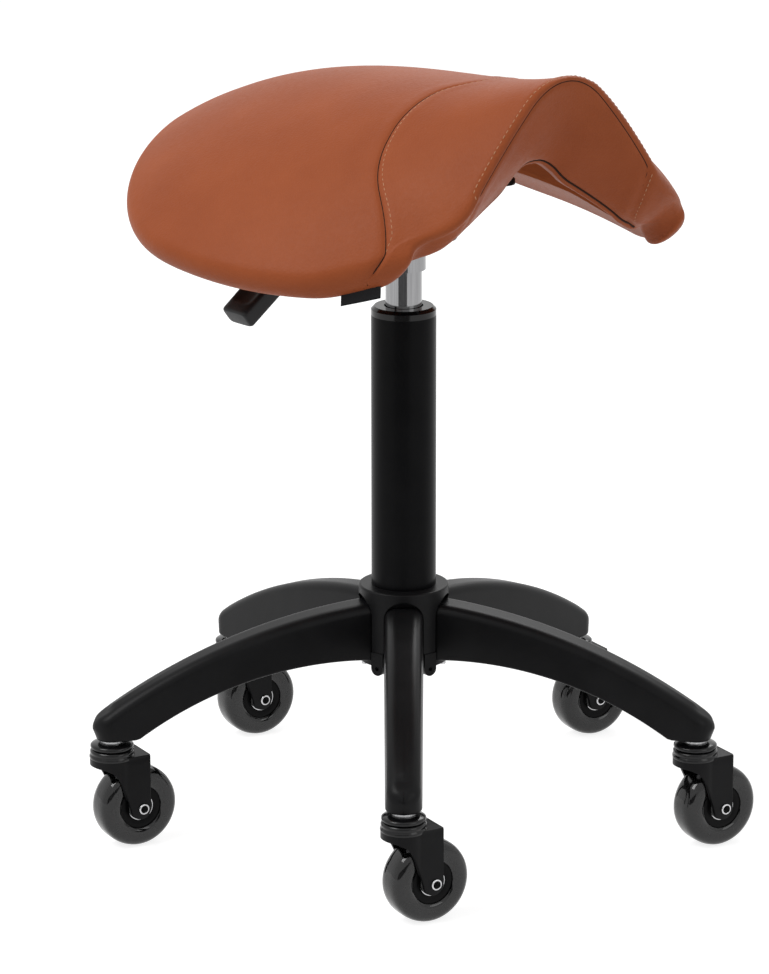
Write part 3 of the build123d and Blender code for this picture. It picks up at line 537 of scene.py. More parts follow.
def section(station, share):
    """Top and floor points (out, height) and slope; share runs 0 to 1 on the crown, to 2 on the flank."""
    angle = np.radians(along(CROWN_ANGLES, station))
    radius = along(CROWN_RADII, station)
    ridge = PLATE_TOP + along(RIDGE_HEIGHTS, station)
    flank = along(FLANK_RADII, station)
    rim = RIM_THICKNESS / 2
    crown_out = radius * np.sin(angle)
    crown_height = ridge - radius * (1.0 - np.cos(angle))
    spare = rim * (1.0 - np.sin(angle) + crown_out / flank)
    rim_out = (half_width(station) - spare) / (1.0 - rim / flank)
    on_crown = np.clip(share, 0.0, 1.0)
    on_flank = np.clip(share - 1.0, 0.0, 1.0)
    flank_out = crown_out + (rim_out - crown_out) * on_flank
    flank_slope = np.clip(np.sin(angle) + (flank_out - crown_out) / flank, -STEEPEST, STEEPEST)
    flank_height = crown_height - flank * (np.cos(angle) - np.sqrt(1.0 - flank_slope ** 2))
    out = np.where(share <= 1.0, radius * np.sin(on_crown * angle), flank_out)
    height = np.where(share <= 1.0, ridge - radius * (1.0 - np.cos(on_crown * angle)), flank_height)
    slope = np.where(share <= 1.0, np.sin(on_crown * angle), flank_slope)
    extra = (MIDDLE_THICKNESS - RIM_THICKNESS) * np.minimum(1.0, (station + SEAT_REAR) / THINNING_LENGTH)
    crown_part = 1.0 - CROWN_THINNING * share ** 2
    flank_part = (1.0 - CROWN_THINNING) * (1.0 - on_flank ** FLANK_THINNING)
    depth = RIM_THICKNESS + extra * np.where(share <= 1.0, crown_part, flank_part)
    near_rear = np.clip(1.0 - (station + SEAT_REAR) / rim, 0.0, 1.0)
    roll = rim * (1.0 - np.sqrt(1.0 - near_rear ** 2))
    inward = np.sqrt(1.0 - slope ** 2)
    top = (out - roll * slope, height - roll * inward)
    floor = (out - (depth - roll) * slope, height - (depth - roll) * inward)
    return top, floor, slope


def smooth_step(value, low, high):
    """Zero below low, one above high, and a soft rise between."""
    t = np.clip((value - low) / (high - low), 0.0, 1.0)
    return t * t * (3.0 - 2.0 * t)


def front_edge(out):
    """Station of the front edge at a distance from the middle."""
    beyond = np.clip((out - FRONT_HALF_WIDTH) / CORNER_LENGTH, 0.0, 1.0)
    return FRONT_STATION - CORNER_CUT * beyond ** 2


def hem_line_edge(out):
    """Station of the lower front edge at a distance from the middle."""
    return front_edge(out) - FRONT_UNDERCUT


def seam_edge(out):
    """Station of the seam between the rear and the middle panel."""
    total = 0.0 * out
    weights = 0.0 * out
    for place, station in SEAM_PLAN:
        near = np.exp(-(((out - place) / SEAM_BLEND) ** 2))
        total = total + near * station
        weights = weights + near
    return total / weights


def meeting(edge, layer):
    """Station on each column where the top (0) or the floor (1) meets an edge line."""
    stations = np.arange(*MEETING_RANGE, MEETING_STEP)[:, None]
    out = section(stations, half_shares[None, :])[layer][0]
    past = stations - edge(out)
    first = np.argmax(past >= 0.0, axis=0)
    columns = np.arange(len(half_shares))
    before, after = past[first - 1, columns], past[first, columns]
    return stations[first, 0] - MEETING_STEP * after / (after - before)


def top_stations(seam, front):
    """Stations of all the rows on top, from the rear edge to the front edge's rounding."""
    last = front - EDGE_ROUNDING
    room = np.minimum(1.0, (last - seam) / (2 * SEAM_STEPS[0]))
    shares = np.linspace(0.0, 1.0, REAR_ROWS)
    spread = REAR_CROWDING * shares ** 2 + (1.0 - REAR_CROWDING) * shares
    rows = [REAR_START + t * (seam - SEAM_STEPS[0] - REAR_START) for t in spread]
    rows += [seam - d for d in SEAM_STEPS[1:]] + [seam] + [seam + d * room for d in SEAM_STEPS[::-1]]
    begin = seam + SEAM_STEPS[0] * room
    rows += [begin + t * (last - begin) for t in np.linspace(0.0, 1.0, MIDDLE_ROWS)[1:]]
    return np.stack(rows)


def grid_points():
    """Rows on top and on the floor of one half, in (front, out, up), and the slope at the rim."""
    front = meeting(front_edge, 0)
    hem = meeting(hem_line_edge, 1)
    seam = np.minimum(meeting(seam_edge, 0), front - SEAM_CLEARANCE)
    stations = top_stations(seam, front)
    shares = np.broadcast_to(half_shares, stations.shape)
    top, _, slope = section(stations, shares)
    travel = (stations[:, -1:] - REAR_START) / (front[-1] - REAR_START)
    under = REAR_START + travel * (hem - REAR_START)
    flat = section(under, shares)[1]
    edge_top, _, edge_slope = section(front, half_shares)
    hem_floor = section(hem, half_shares)[1]
    edge = np.stack([front, *edge_top], -1)
    base = np.stack([hem, *hem_floor], -1)
    upper = np.concatenate([np.stack([stations, *top], -1), edge[None]])
    lower = np.concatenate([np.stack([under, *flat], -1), base[None]])
    return upper, lower, np.concatenate([slope[:, -1], edge_slope[-1:]])


def rim_points(upper, lower, slope):
    """The two halves of the rounded rim, from the top and from the floor to its middle."""
    middle = (upper[:, -1] + lower[:, -1]) / 2
    arm = (upper[:, -1] - lower[:, -1]) / 2
    reach = RIM_BULGE * np.minimum(np.linalg.norm(arm, axis=1), RIM_THICKNESS / 2)
    outward = np.stack([0.0 * slope, np.sqrt(1.0 - slope ** 2), -slope], -1)

    def at(turn):
        return middle + arm * cos(turn) + (reach * sin(turn))[:, None] * outward

    over = np.stack([at(t) for t in rim_turns], 1)
    beneath = np.stack([at(pi - t) for t in rim_turns], 1)
    return over, beneath


def mirrored(half):
    """Both halves of a sheet of points, from the sitter's right rim to the left rim."""
    right = half[:, :0:-1] * np.array([1.0, -1.0, 1.0])
    return np.concatenate([right, half], 1)


def bend(first, corner, last, count):
    """Rows rounding a corner between two points."""
    shares = np.linspace(0.0, 1.0, count + 2)[1:-1]
    return [first * (1 - t) ** 2 + corner * 2 * t * (1 - t) + last * t * t for t in shares]


def to_part(points):
    """From the seat's directions in millimetres to the part's frame in metres."""
    turn = radians(SEAT_YAW)
    front, left, height = points[..., 0], points[..., 1], points[..., 2]
    x = front * cos(turn) + left * sin(turn)
    y = -front * sin(turn) + left * cos(turn)
    return np.stack([x, y, height], -1) * MM


def sheet_normals(points):
    """Outward normals of the rows of points."""
    down = np.gradient(points, axis=0)
    across = np.gradient(points, axis=1)
    normals = unit(np.cross(across, down))
    return normals * np.sign(normals[SEAM_ROW, MIDDLE_COLUMN, 2])


def distance_to(line, points):
    """Distance from each point to a polyline."""
    best = np.full(len(points), 1e9)
    for a, b in zip(line[:-1], line[1:]):
        ab = b - a
        t = np.clip(((points - a) @ ab) / max(ab @ ab, 1e-9), 0.0, 1.0)
        best = np.minimum(best, np.linalg.norm(points - a - t[:, None] * ab, axis=1))
    return best


def path_on(rows, columns):
    """Points and normals of the saddle along a path given by row and whole column."""
    rows = rows + 0.0 * columns
    before = np.floor(rows).astype(int)
    share = (rows - before)[:, None]

    def mix(field):
        return field[before, columns] * (1.0 - share) + field[before + 1, columns] * share

    return mix(saddle), unit(mix(saddle_normals))


# Saddle grid: rows from the rear over the top, down the front face and back underneath
SEAM_PLAN = (
    (0.0, 101.0), (14.0, 92.0), (33.0, 81.0), (52.0, 80.0), (73.0, 82.0), (93.0, 88.0),
    (110.0, 97.0), (124.0, 111.0), (136.0, 131.0), (146.0, 148.0), (156.0, 150.0),
)
SEAM_BLEND = 15.0
SEAM_CLEARANCE = 16.0
SEAM_LEAN = 1.2
SEAM_END_COLUMN = 3
REAR_STITCH_OFFSET = 4.0
FRONT_SEAM_OFFSET = 6.0
FRONT_STITCH_OFFSET = 1.0
FRONT_STITCH_SPARE = 5.0
HEM_LINE_OFFSET = 3.0
MEETING_RANGE = (-60.0, 205.0)
MEETING_STEP = 0.5
CROWN_COLUMNS = 16
FLANK_COLUMNS = 32
RIM_COLUMNS = 8
REAR_ROWS = 64
REAR_CROWDING = 0.35
MIDDLE_ROWS = 26
FACE_ROWS = 18
CORNER_ROWS = 9
SEAM_STEPS = (13.0, 9.0, 6.0, 4.0, 2.6, 1.6, 0.8)
EDGE_ROUNDING = 12.0
EDGE_SHARE = 0.35
HEM_ROUNDING = 4.0
HEM_SHARE = 0.25
FACE_PILLOW = 3.0
ROLL_SMOOTHING = 24
REAR_START = -SEAT_REAR + 0.25
REAR_GATHER = 0.35
HEM_DROP = 8.0
HEM_DROP_START = (60.0, 125.0)
HEM_DROP_MIDDLE = (4.0, 34.0)
HEM_DROP_RIGHT_END = (60.0, 95.0)
HEM_DROP_LEFT_END = (100.0, 125.0)
COVER_WELD = 0.00005
SEAM_ROW = REAR_ROWS + len(SEAM_STEPS) - 1

crown_shares = np.linspace(0.0, 1.0, CROWN_COLUMNS + 1)
half_shares = np.concatenate([crown_shares, np.linspace(1.0, 2.0, FLANK_COLUMNS + 1)[1:]])
rim_turns = np.linspace(0.0, pi / 2, RIM_COLUMNS + 1)[1:]
upper, lower, slope = grid_points()
over, beneath = rim_points(upper, lower, slope)
top_sheet = mirrored(np.concatenate([upper, over], 1))
floor_sheet = mirrored(np.concatenate([lower, beneath], 1))
top_edge, hem_edge = top_sheet[-1], floor_sheet[-1]
drop = hem_edge - top_edge
drop_length = np.linalg.norm(drop, axis=1, keepdims=True)
edge_run = np.minimum(EDGE_ROUNDING, EDGE_SHARE * drop_length)
hem_run = np.minimum(HEM_ROUNDING, HEM_SHARE * drop_length)
drop_way = drop / np.maximum(drop_length, 1e-6)
face_first = top_edge + drop_way * edge_run
face_last = hem_edge - drop_way * hem_run
face_out = unit(np.cross(np.gradient(top_edge, axis=0), drop))
face_out = face_out * np.sign(face_out[:, :1] + 1e-9)
for _ in range(ROLL_SMOOTHING):
    face_out[1:-1] = unit(face_out[:-2] + 2.0 * face_out[1:-1] + face_out[2:])
rolled = smooth_step(np.abs(top_edge[:, 1:2]), *CORNER_ROLL)
face_rows = []
for t in np.linspace(0.0, 1.0, FACE_ROWS):
    face_rows.append(face_first + (face_last - face_first) * t + face_out * FACE_PILLOW * sin(pi * t))
top_rows = list(top_sheet[:-1])
floor_back = hem_edge + unit(floor_sheet[-2] - hem_edge) * hem_run
floor_rows = [floor_back] + list(floor_sheet[-3::-1])
edge_rows = bend(top_rows[-1], top_edge, face_rows[0], CORNER_ROWS)
hem_rows = bend(face_rows[-1], hem_edge, floor_rows[0], CORNER_ROWS)
square_rows = edge_rows + face_rows + hem_rows
roll_turns = np.linspace(0.0, pi, len(square_rows) + 2)[1:-1]
roll_depth = np.where(top_edge[:, 1:2] < 0.0, *CORNER_BULGES) * drop_length / 2
front_rolls = []
for square, turn in zip(square_rows, roll_turns):
    round_row = (top_edge + hem_edge) / 2 - drop / 2 * cos(turn) + face_out * roll_depth * sin(turn)
    front_rolls.append(square * (1.0 - rolled) + round_row * rolled)
saddle = np.stack(top_rows + front_rolls + floor_rows)
EDGE_ROW = len(top_rows)
HEM_ROW = EDGE_ROW + CORNER_ROWS + FACE_ROWS
FLOOR_ROW = HEM_ROW + CORNER_ROWS
ROWS, COLUMNS = saddle.shape[:2]
MIDDLE_COLUMN = COLUMNS // 2

# Rear edge, gathered to a short line; hem, lower beside the arch; tips, each with its own turn
rear_middle = (saddle[0] + saddle[-1])[MIDDLE_COLUMN] / 2
for end, beside in ((0, 1), (-1, -2)):
    saddle[end] = rear_middle + REAR_GATHER * (saddle[beside] - rear_middle)
    saddle[end, :, 0] = rear_middle[0]
face_share = np.zeros(ROWS)
face_share[EDGE_ROW:FLOOR_ROW] = np.linspace(0.0, 1.0, len(front_rolls))
face_share[FLOOR_ROW:] = 1.0
hem_reach = smooth_step(saddle[..., 0], *HEM_DROP_START) * face_share[:, None]
hem_out = np.abs(saddle[..., 1])
right_end = smooth_step(hem_out, *HEM_DROP_RIGHT_END)
left_end = smooth_step(hem_out, *HEM_DROP_LEFT_END)
side_end = np.where(saddle[..., 1] < 0.0, right_end, left_end)
saddle[..., 2] -= HEM_DROP * hem_reach * smooth_step(hem_out, *HEM_DROP_MIDDLE) * (1.0 - side_end)
tip_share = smooth_step(saddle[..., 0], *TIP_START)
right_share = tip_share * smooth_step(-saddle[..., 1], *TIP_SIDE)
left_share = tip_share * smooth_step(saddle[..., 1], *TIP_SIDE)
saddle = saddle + right_share[..., None] * np.array(RIGHT_TIP_SHIFT)
saddle = saddle + left_share[..., None] * np.array(LEFT_TIP_SHIFT)
saddle_normals = sheet_normals(saddle)

# Seams: the rear seam crosses the whole top; the front seam follows the edge and drops to the hem at the tips
all_columns = np.arange(COLUMNS)
from_rim = np.minimum(all_columns, COLUMNS - 1 - all_columns)
spread = np.abs(top_edge[:, 1])
hem_line_row = HEM_ROW + HEM_LINE_OFFSET
front_columns = all_columns[spread < FRONT_SEAM_END]
front_drop_share = smooth_step(spread[front_columns], FRONT_SEAM_TURN, FRONT_SEAM_END)
front_rows = EDGE_ROW + FRONT_SEAM_OFFSET
front_rows = front_rows + (hem_line_row - front_rows) * front_drop_share
stitch_rows = EDGE_ROW + FRONT_STITCH_OFFSET
stitch_rows = stitch_rows + (hem_line_row - FRONT_STITCH_SPARE - stitch_rows) * front_drop_share
hem_columns = all_columns[spread < HEM_END]
seam_columns = all_columns[from_rim >= SEAM_END_COLUMN]
seam_rows = SEAM_ROW + SEAM_LEAN * np.maximum(0, RIM_COLUMNS - from_rim[seam_columns])
sewn_columns = all_columns[from_rim >= RIM_COLUMNS]
seam_paths = ((seam_rows, seam_columns), (front_rows, front_columns), (hem_line_row, hem_columns))

# Relief: a narrow valley at each seam, with the panels swelling and puckering gently beside it
flat_points = saddle.reshape(-1, 3)
relief = np.zeros(len(flat_points))
run = flat_points @ np.array(PUCKER_RUN) / PUCKER_PITCH
swell = SWELL_HEIGHT + PUCKER_HEIGHT * np.sin(tau * run)
for path, depth in zip(seam_paths, (SEAM_DEPTH, SEAM_DEPTH, HEM_DEPTH)):
    away = distance_to(path_on(*path)[0], flat_points)
    relief -= depth * np.exp(-((away / VALLEY_HALF) ** 2))
    relief += swell * np.exp(-(((away - SWELL_PLACE) / SWELL_HALF) ** 2))
under_lining = np.zeros((ROWS, COLUMNS))
under_lining[FLOOR_ROW + 1:-2] = smooth_step(from_rim, LINING_MARGIN - 1.0, LINING_MARGIN + 1.0)
relief = relief.reshape(ROWS, COLUMNS) - LINING_STEP * under_lining
saddle = saddle + saddle_normals * relief[..., None]
saddle_normals = sheet_normals(saddle)

# Seat cover: one closed skin of three panels and the lining
cover_faces = []
lining_faces = []
for i in range(ROWS):
    for k in range(COLUMNS - 1):
        a, b = i * COLUMNS + k, (i + 1) % ROWS * COLUMNS + k
        cover_faces.append((a, b, b + 1, a + 1))
        underneath = FLOOR_ROW + 1 <= i < ROWS - 3
        lining_faces.append(int(underneath and LINING_MARGIN <= k < COLUMNS - 1 - LINING_MARGIN))
cover_shape = (to_part(saddle).reshape(-1, 3), cover_faces)
seat_cover = add_piece("seat_cover", cover_shape, TAN, "seat")
seat_cover.data.materials.append(LINING)
seat_cover.data.polygons.foreach_set("material_index", lining_faces)
close_up = seat_cover.modifiers.new("close", "WELD")
close_up.merge_threshold = COVER_WELD
smoother = seat_cover.modifiers.new("smooth", "SUBSURF")
smoother.levels = 1
smoother.render_levels = 1
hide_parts("cover_rear", "cover_middle", "cover_front", "cover_lining", "seat_foam")

rear_line, front_line, hem_line = (to_part(path_on(*path)[0]) for path in seam_paths)
# Near-black tubes along both seams and the hem: painted shade in the seam valleys and painted shadow in the
# gap under the hem
seam_shape = tubes([rear_line, front_line], SEAM_SHADE_LINE_RADIUS * MM)
add_piece("painted_seam_shade_lines", seam_shape, PAINTED_SEAM_SHADE, "seat")
hem_shape = tubes([hem_line], HEM_SHADE_LINE_RADIUS * MM)
add_piece("painted_hem_shade_line", hem_shape, PAINTED_SEAM_SHADE, "seat")
rear_sewn = path_on(SEAM_ROW + REAR_STITCH_OFFSET, sewn_columns)
front_sewn = path_on(stitch_rows, front_columns)
points, faces = stitches([rear_sewn, front_sewn])
add_piece("cover_stitches", (to_part(np.array(points)), faces), THREAD, "seat")


# Arms: castings with rounded tops, a little wider below, ending in a leaning rounded tip
def arc_height(points, out):
    """Height at a distance out on the arc through three points of (out, height)."""
    (x1, z1), (x2, z2), (x3, z3) = points
    s1, s2, s3 = x1 * x1 + z1 * z1, x2 * x2 + z2 * z2, x3 * x3 + z3 * z3
    area = 2.0 * (x1 * (z2 - z3) + x2 * (z3 - z1) + x3 * (z1 - z2))
    middle = (s1 * (z2 - z3) + s2 * (z3 - z1) + s3 * (z1 - z2)) / area
    level = (s1 * (x3 - x2) + s2 * (x1 - x3) + s3 * (x2 - x1)) / area
    radius = sqrt((x1 - middle) ** 2 + (z1 - level) ** 2)
    return level + sqrt(radius ** 2 - (out - middle) ** 2)


def arm_ring(out):
    """Section of an arm at a distance out, in (out, across, height)."""
    half = ARM_ROOT_HALF + (ARM_TIP_HALF - ARM_ROOT_HALF) * (out - ARM_ROOT) / (ARM_END - ARM_ROOT)
    past = max(0.0, (out - ARM_END + ARM_TIP_HALF) / ARM_TIP_HALF)
    half *= max(ARM_TIP_LEAST, (1.0 - past ** ARM_TIP_FULLNESS) ** (1.0 / ARM_TIP_FULLNESS))
    over = max(0.0, (out - ARM_END + ARM_TIP_ROUNDING) / ARM_TIP_ROUNDING)
    top = arc_height(ARM_TOP, out) - ARM_TIP_ROUNDING * (1.0 - sqrt(1.0 - over * over))
    bottom = arc_height(ARM_UNDERSIDE, min(out, ARM_FLAT))
    upper = min(ARM_ROUNDING, ARM_ROUNDING_LIMIT * half)
    lower = min(ARM_LOWER_ROUNDING, ARM_LOWER_LIMIT * half)
    quarter = np.linspace(0.0, pi / 2, QUARTER_POINTS)
    side = [(half - lower + lower * sin(t), bottom + lower - lower * cos(t)) for t in quarter]
    side += [(half - upper + upper * cos(t), top - upper + upper * sin(t)) for t in quarter]
    crown = [(y, top) for y in np.linspace(half - upper, upper - half, ARM_CROWN_POINTS)[1:-1]]
    across, height = np.array(side + crown + [(-y, z) for y, z in side[::-1]]).T
    depth = (top - height) / (top - bottom)
    start, peak, end = ARM_LAND
    rise = np.clip((out - start) / (peak - start), 0.0, 1.0) ** 2 * (1.0 - smooth_step(out, peak, end))
    rise = rise * np.clip(1.0 - ARM_LAND_FADE * depth, 0.0, 1.0)
    land = ARM_LAND_HEIGHT * rise * np.exp(-((across / ARM_LAND_HALF) ** 2))
    lean = ARM_TIP_LEAN * smooth_step(out, ARM_FLAT, ARM_END) * depth
    across = across + np.sign(across) * ARM_DRAFT * (2.0 * depth - 1.0) * min(1.0, half / ARM_TIP_HALF)
    return np.stack([out - lean, across, height + land], -1)


def arm_direction(number):
    """Level direction of an arm, counted from the front one."""
    bearing = radians(-90.0 + 360.0 / CASTER_COUNT * (number - 1))
    return np.array((cos(bearing), sin(bearing), 0.0))


def set_along(points, ahead, aside):
    """Points of (ahead, aside, up) in millimetres turned to two level directions, in metres."""
    return (points[:, :1] * ahead + points[:, 1:2] * aside + points[:, 2:] * UP) * MM


tip_start = ARM_END - ARM_TIP_HALF
tip_stations = tip_start + ARM_TIP_HALF * np.sin(np.linspace(0.0, pi / 2, ARM_TIP_ROWS))
arm_stations = np.concatenate([np.linspace(ARM_ROOT, tip_start, ARM_ROWS), tip_stations[1:]])
arm_points, arm_faces = loft([arm_ring(out) for out in arm_stations])
for number in range(1, CASTER_COUNT + 1):
    ahead = arm_direction(number)
    placed = set_along(arm_points, ahead, np.cross(UP, ahead))
    arm = add_piece(f"cast_arm_{number}", (placed, arm_faces), POWDER, "base")
    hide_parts(f"arm_{number}")


# Casters: pressed forks with their races, socket-headed axles, hard cores and clear tyres
def fork_plan():
    """Outer line of a fork, (trail, across), from the rear of one cheek round the front to the other."""
    turns = np.linspace(0.0, pi, STRAP_POINTS)
    rear = [(STRAP_CENTRE + STRAP_RADIUS * cos(t), FORK_HALF_WIDTH) for t in turns]
    joint = sqrt(FORK_ROUND ** 2 - FORK_HALF_WIDTH ** 2)
    neck = [(x, FORK_HALF_WIDTH) for x in np.linspace(rear[-1][0], joint, NECK_POINTS)[1:-1]]
    first = atan2(FORK_HALF_WIDTH, joint)
    front = [(FORK_ROUND * cos(t), FORK_ROUND * sin(t)) for t in np.linspace(first, pi, FORK_FRONT_POINTS)]
    half = np.array(rear + neck + front)
    return np.concatenate([half, half[-2::-1] * np.array((1.0, -1.0))])


def skirt_height(trail):
    """Height of a fork's lower edge at a place along the trail."""
    beside = np.clip((trail - STRAP_CENTRE) / STRAP_RADIUS, -1.0, 1.0)
    strap = WHEEL_RADIUS - STRAP_RADIUS * np.sqrt(1.0 - beside ** 2)
    line = np.array(SKIRT_LINE)
    return np.where(trail > STRAP_CENTRE - STRAP_RADIUS, strap, np.interp(trail, line[:, 0], line[:, 1]))


def fork_shape():
    """Points and faces of a pressed fork: a bent wall under a flat crown."""
    plan = fork_plan()
    ahead = unit(np.gradient(plan, axis=0))
    outward = np.stack([ahead[:, 1], -ahead[:, 0]], -1)
    outward *= np.sign(outward[len(plan) // 2, 0] * -1.0)
    inner = plan - FORK_WALL * outward
    inset = plan - FORK_EDGE * outward
    low = skirt_height(plan[:, 0])
    count = len(plan)
    rows = []
    for t in np.linspace(0.0, 1.0, FORK_OUTER_ROWS):
        rows.append(np.column_stack([plan, low + (CROWN_TOP - FORK_EDGE - low) * t]))
    rows.append(np.column_stack([(plan + inset) / 2, np.full(count, CROWN_TOP - FORK_EDGE_DROP * FORK_EDGE)]))
    rows.append(np.column_stack([inset, np.full(count, CROWN_TOP)]))
    top = len(rows) - 1
    for t in np.linspace(0.0, 1.0, FORK_INNER_ROWS):
        rows.append(np.column_stack([inner, low + (CROWN_TOP - CROWN_THICKNESS - low) * t]))
    faces = []
    for i in list(range(top)) + list(range(top + 1, len(rows) - 1)):
        a, b = i * count, (i + 1) * count
        faces += [(a + k, a + k + 1, b + k + 1, b + k) for k in range(count - 1)]
    first_inner, last_inner = (top + 1) * count, (len(rows) - 1) * count
    faces += [(k + 1, k, first_inner + k, first_inner + k + 1) for k in range(count - 1)]
    faces.append(tuple(range(top * count, (top + 1) * count)))
    faces.append(tuple(range(last_inner, last_inner + count))[::-1])
    near = [i * count for i in range(top + 1)] + [i * count for i in range(len(rows) - 1, top, -1)]
    faces.append(tuple(near))
    faces.append(tuple(i + count - 1 for i in near)[::-1])
    faces.append((top * count, last_inner, last_inner + count - 1, top * count + count - 1))
    return np.concatenate(rows), faces


trail = np.array((cos(radians(CASTER_HEADING)), sin(radians(CASTER_HEADING)), 0.0))
axle_line = np.cross(trail, UP)
peg_rise = np.cross(axle_line, trail)
tyre_profile = TYRE_HALF + tuple((-a, r) for a, r in TYRE_HALF[::-1]) + TYRE_INSIDE
fork_points, fork_faces = fork_shape()
# The faces of each axle's socket recess take the near-black core material: painted shade in the recess
socket_shade_marks = [int(i >= AXLE_SOCKET_PART) for i in range(len(AXLE_PROFILE))]
placed = set_along(fork_points, trail, axle_line)
race_shapes = []
for number in range(1, CASTER_COUNT + 1):
    fork_body, wheel_body = f"fork_{number}", f"wheel_{number}"
    pivot = arm_direction(number) * CASTER_CIRCLE * MM
    centre = pivot + (trail * CASTER_TRAIL + UP * WHEEL_RADIUS) * MM
    race_shapes.append(lathe(UPPER_RACE, pivot, UP, RACE_SEGMENTS))

    fork = add_piece(f"pressed_fork_{number}", (pivot + placed, fork_faces), POWDER, fork_body)
    fork.data.polygons.foreach_set("use_smooth", [len(face) == 4 for face in fork_faces])
    ease = fork.modifiers.new("ease", "BEVEL")
    ease.width = FORK_BEVEL * MM
    ease.segments = 2
    ease.limit_method = "ANGLE"
    ease.angle_limit = radians(FORK_BEVEL_ANGLE)
    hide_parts(f"caster_{number}_fork")
    bead = lathe(LOWER_RACE, pivot, UP, RACE_SEGMENTS)
    add_piece(f"swivel_bead_{number}", bead, GLOSS, fork_body)

    bolt = lathe(AXLE_PROFILE, centre, axle_line, AXLE_SEGMENTS)
    axle = add_piece(f"axle_bolt_{number}", bolt, STEEL, fork_body)
    axle.data.materials.append(CORE_AND_SOCKET_SHADE)
    axle.data.polygons.foreach_set("material_index", socket_shade_marks * AXLE_SEGMENTS)
    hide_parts(f"caster_{number}_axle")

    # Small beads on both faces of the core: their pale colour is painted highlight, standing for the small
    # glints on the tyre's side
    turns = [tau * k / PEG_COUNT for k in range(PEG_COUNT)]
    spokes = [PEG_CIRCLE * MM * (cos(t) * trail + sin(t) * peg_rise) for t in turns]
    glint_pegs = [centre + spoke + side * PEG_PLACE * MM * axle_line for spoke in spokes for side in (1.0, -1.0)]
    disc = lathe(CORE_PROFILE, centre, axle_line, CORE_SEGMENTS)
    glint_studs = beads(glint_pegs, PEG_RADIUS * MM)
    core = add_piece(f"wheel_core_{number}", joined([disc, glint_studs]), CORE_AND_SOCKET_SHADE, wheel_body)
    core.data.materials.append(PALE_AND_PAINTED_GLINTS)
    core.data.polygons.foreach_set("material_index", [0] * len(disc[1]) + [1] * len(glint_studs[1]))
    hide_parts(f"caster_{number}_core")
    other_side = [(-a, r) for a, r in SHIELD_PROFILE[::-1]]
    shields = [lathe(half, centre, axle_line, AXLE_SEGMENTS) for half in (SHIELD_PROFILE, other_side)]
    add_piece(f"bearing_shields_{number}", joined(shields), GLOSS, wheel_body)

    soft_ring = lathe(tyre_profile, centre, axle_line, TYRE_SEGMENTS)
    tyre = add_piece(f"clear_tyre_{number}", soft_ring, SMOKE, wheel_body)
    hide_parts(f"caster_{number}_tyre")
races = add_piece("swivel_races", joined(race_shapes), GLOSS, "base")
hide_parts("caster_races")

# Lever paddle: a rounded bar with a finger hollow on its upper side
lever_out = -np.array((sin(radians(SEAT_YAW)), cos(radians(SEAT_YAW)), 0.0))
lever_side = np.cross(UP, lever_out)
bend_place = lever_out * LEVER_BEND[0] + UP * LEVER_BEND[1]
end_place = lever_out * LEVER_END[0] + UP * LEVER_END[1]
slope_ahead = unit(end_place - bend_place)
slope_over = np.cross(slope_ahead, lever_side)
slope_over = slope_over * np.sign(slope_over[2])
around = np.linspace(0.0, tau, GRIP_POINTS + 1)[:-1]
squared = np.abs(np.cos(around)) ** GRIP_SQUARENESS + np.abs(np.sin(around)) ** GRIP_SQUARENESS
girth = squared ** (-1.0 / GRIP_SQUARENESS)
ends = GRIP_END_SHARE * np.sin(np.linspace(0.0, pi / 2, EASING_ROWS))
between_ends = np.linspace(GRIP_END_SHARE, 1.0 - GRIP_END_SHARE, GRIP_ROWS)[1:-1]
first_width, last_width = GRIP_HALF_WIDTHS
paddle_rings = []
for share in np.concatenate([GRIP_END_SHARE - ends[::-1], between_ends, 1.0 - GRIP_END_SHARE + ends]):
    toward = min(1.0, min(share, 1.0 - share) / GRIP_END_SHARE)
    shrink = 1.0 - GRIP_END_SHRINK * (1.0 - sqrt(1.0 - (1.0 - toward) ** 2))
    across = (first_width + (last_width - first_width) * share) * shrink * girth * np.cos(around)
    over_line = GRIP_HALF_THICKNESS * shrink * girth * np.sin(around)
    hollow = smooth_step(share, *GRIP_HOLLOW_START) * (1.0 - smooth_step(share, *GRIP_HOLLOW_END))
    hollow = GRIP_HOLLOW * hollow * np.exp(-((across / GRIP_HOLLOW_HALF) ** 4))
    over_line = over_line - hollow * (over_line > 0.0)
    middle = end_place - slope_ahead * GRIP_LENGTH * (1.0 - share)
    paddle_rings.append(middle + across[:, None] * lever_side + over_line[:, None] * slope_over)
paddle_shape = loft(np.array(paddle_rings) * MM)
paddle = add_piece("lever_paddle", paddle_shape, PLASTIC, "lever")
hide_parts("lever_grip")


# Housing of the mechanism and the shell's mounting pad: boxes with rounded corners and a rounded lower edge
def rounded_ring(box, inset, height):
    """Outline of a box with rounded corners drawn in by an inset, at a height."""
    rear, front, half, corner = box
    radius = max(corner - inset, 1.0)
    side = half - inset - radius
    ahead, behind = front - inset - radius, rear + inset + radius
    ring = []
    for k, (along_seat, aside) in enumerate(((ahead, side), (behind, side), (behind, -side), (ahead, -side))):
        for t in np.linspace(k * pi / 2, (k + 1) * pi / 2, QUARTER_POINTS):
            ring.append((along_seat + radius * cos(t), aside + radius * sin(t), height))
    return ring


def drawn_box(box, levels, easing):
    """Points and faces of a box with rounded corners and a rounded lower edge."""
    low, high = levels
    turns = np.linspace(0.0, pi / 2, EASING_ROWS)
    rings = [rounded_ring(box, easing * (1.0 - sin(t)), low + easing * (1.0 - cos(t))) for t in turns]
    rings.append(rounded_ring(box, 0.0, high))
    return loft(to_part(np.array(rings)))


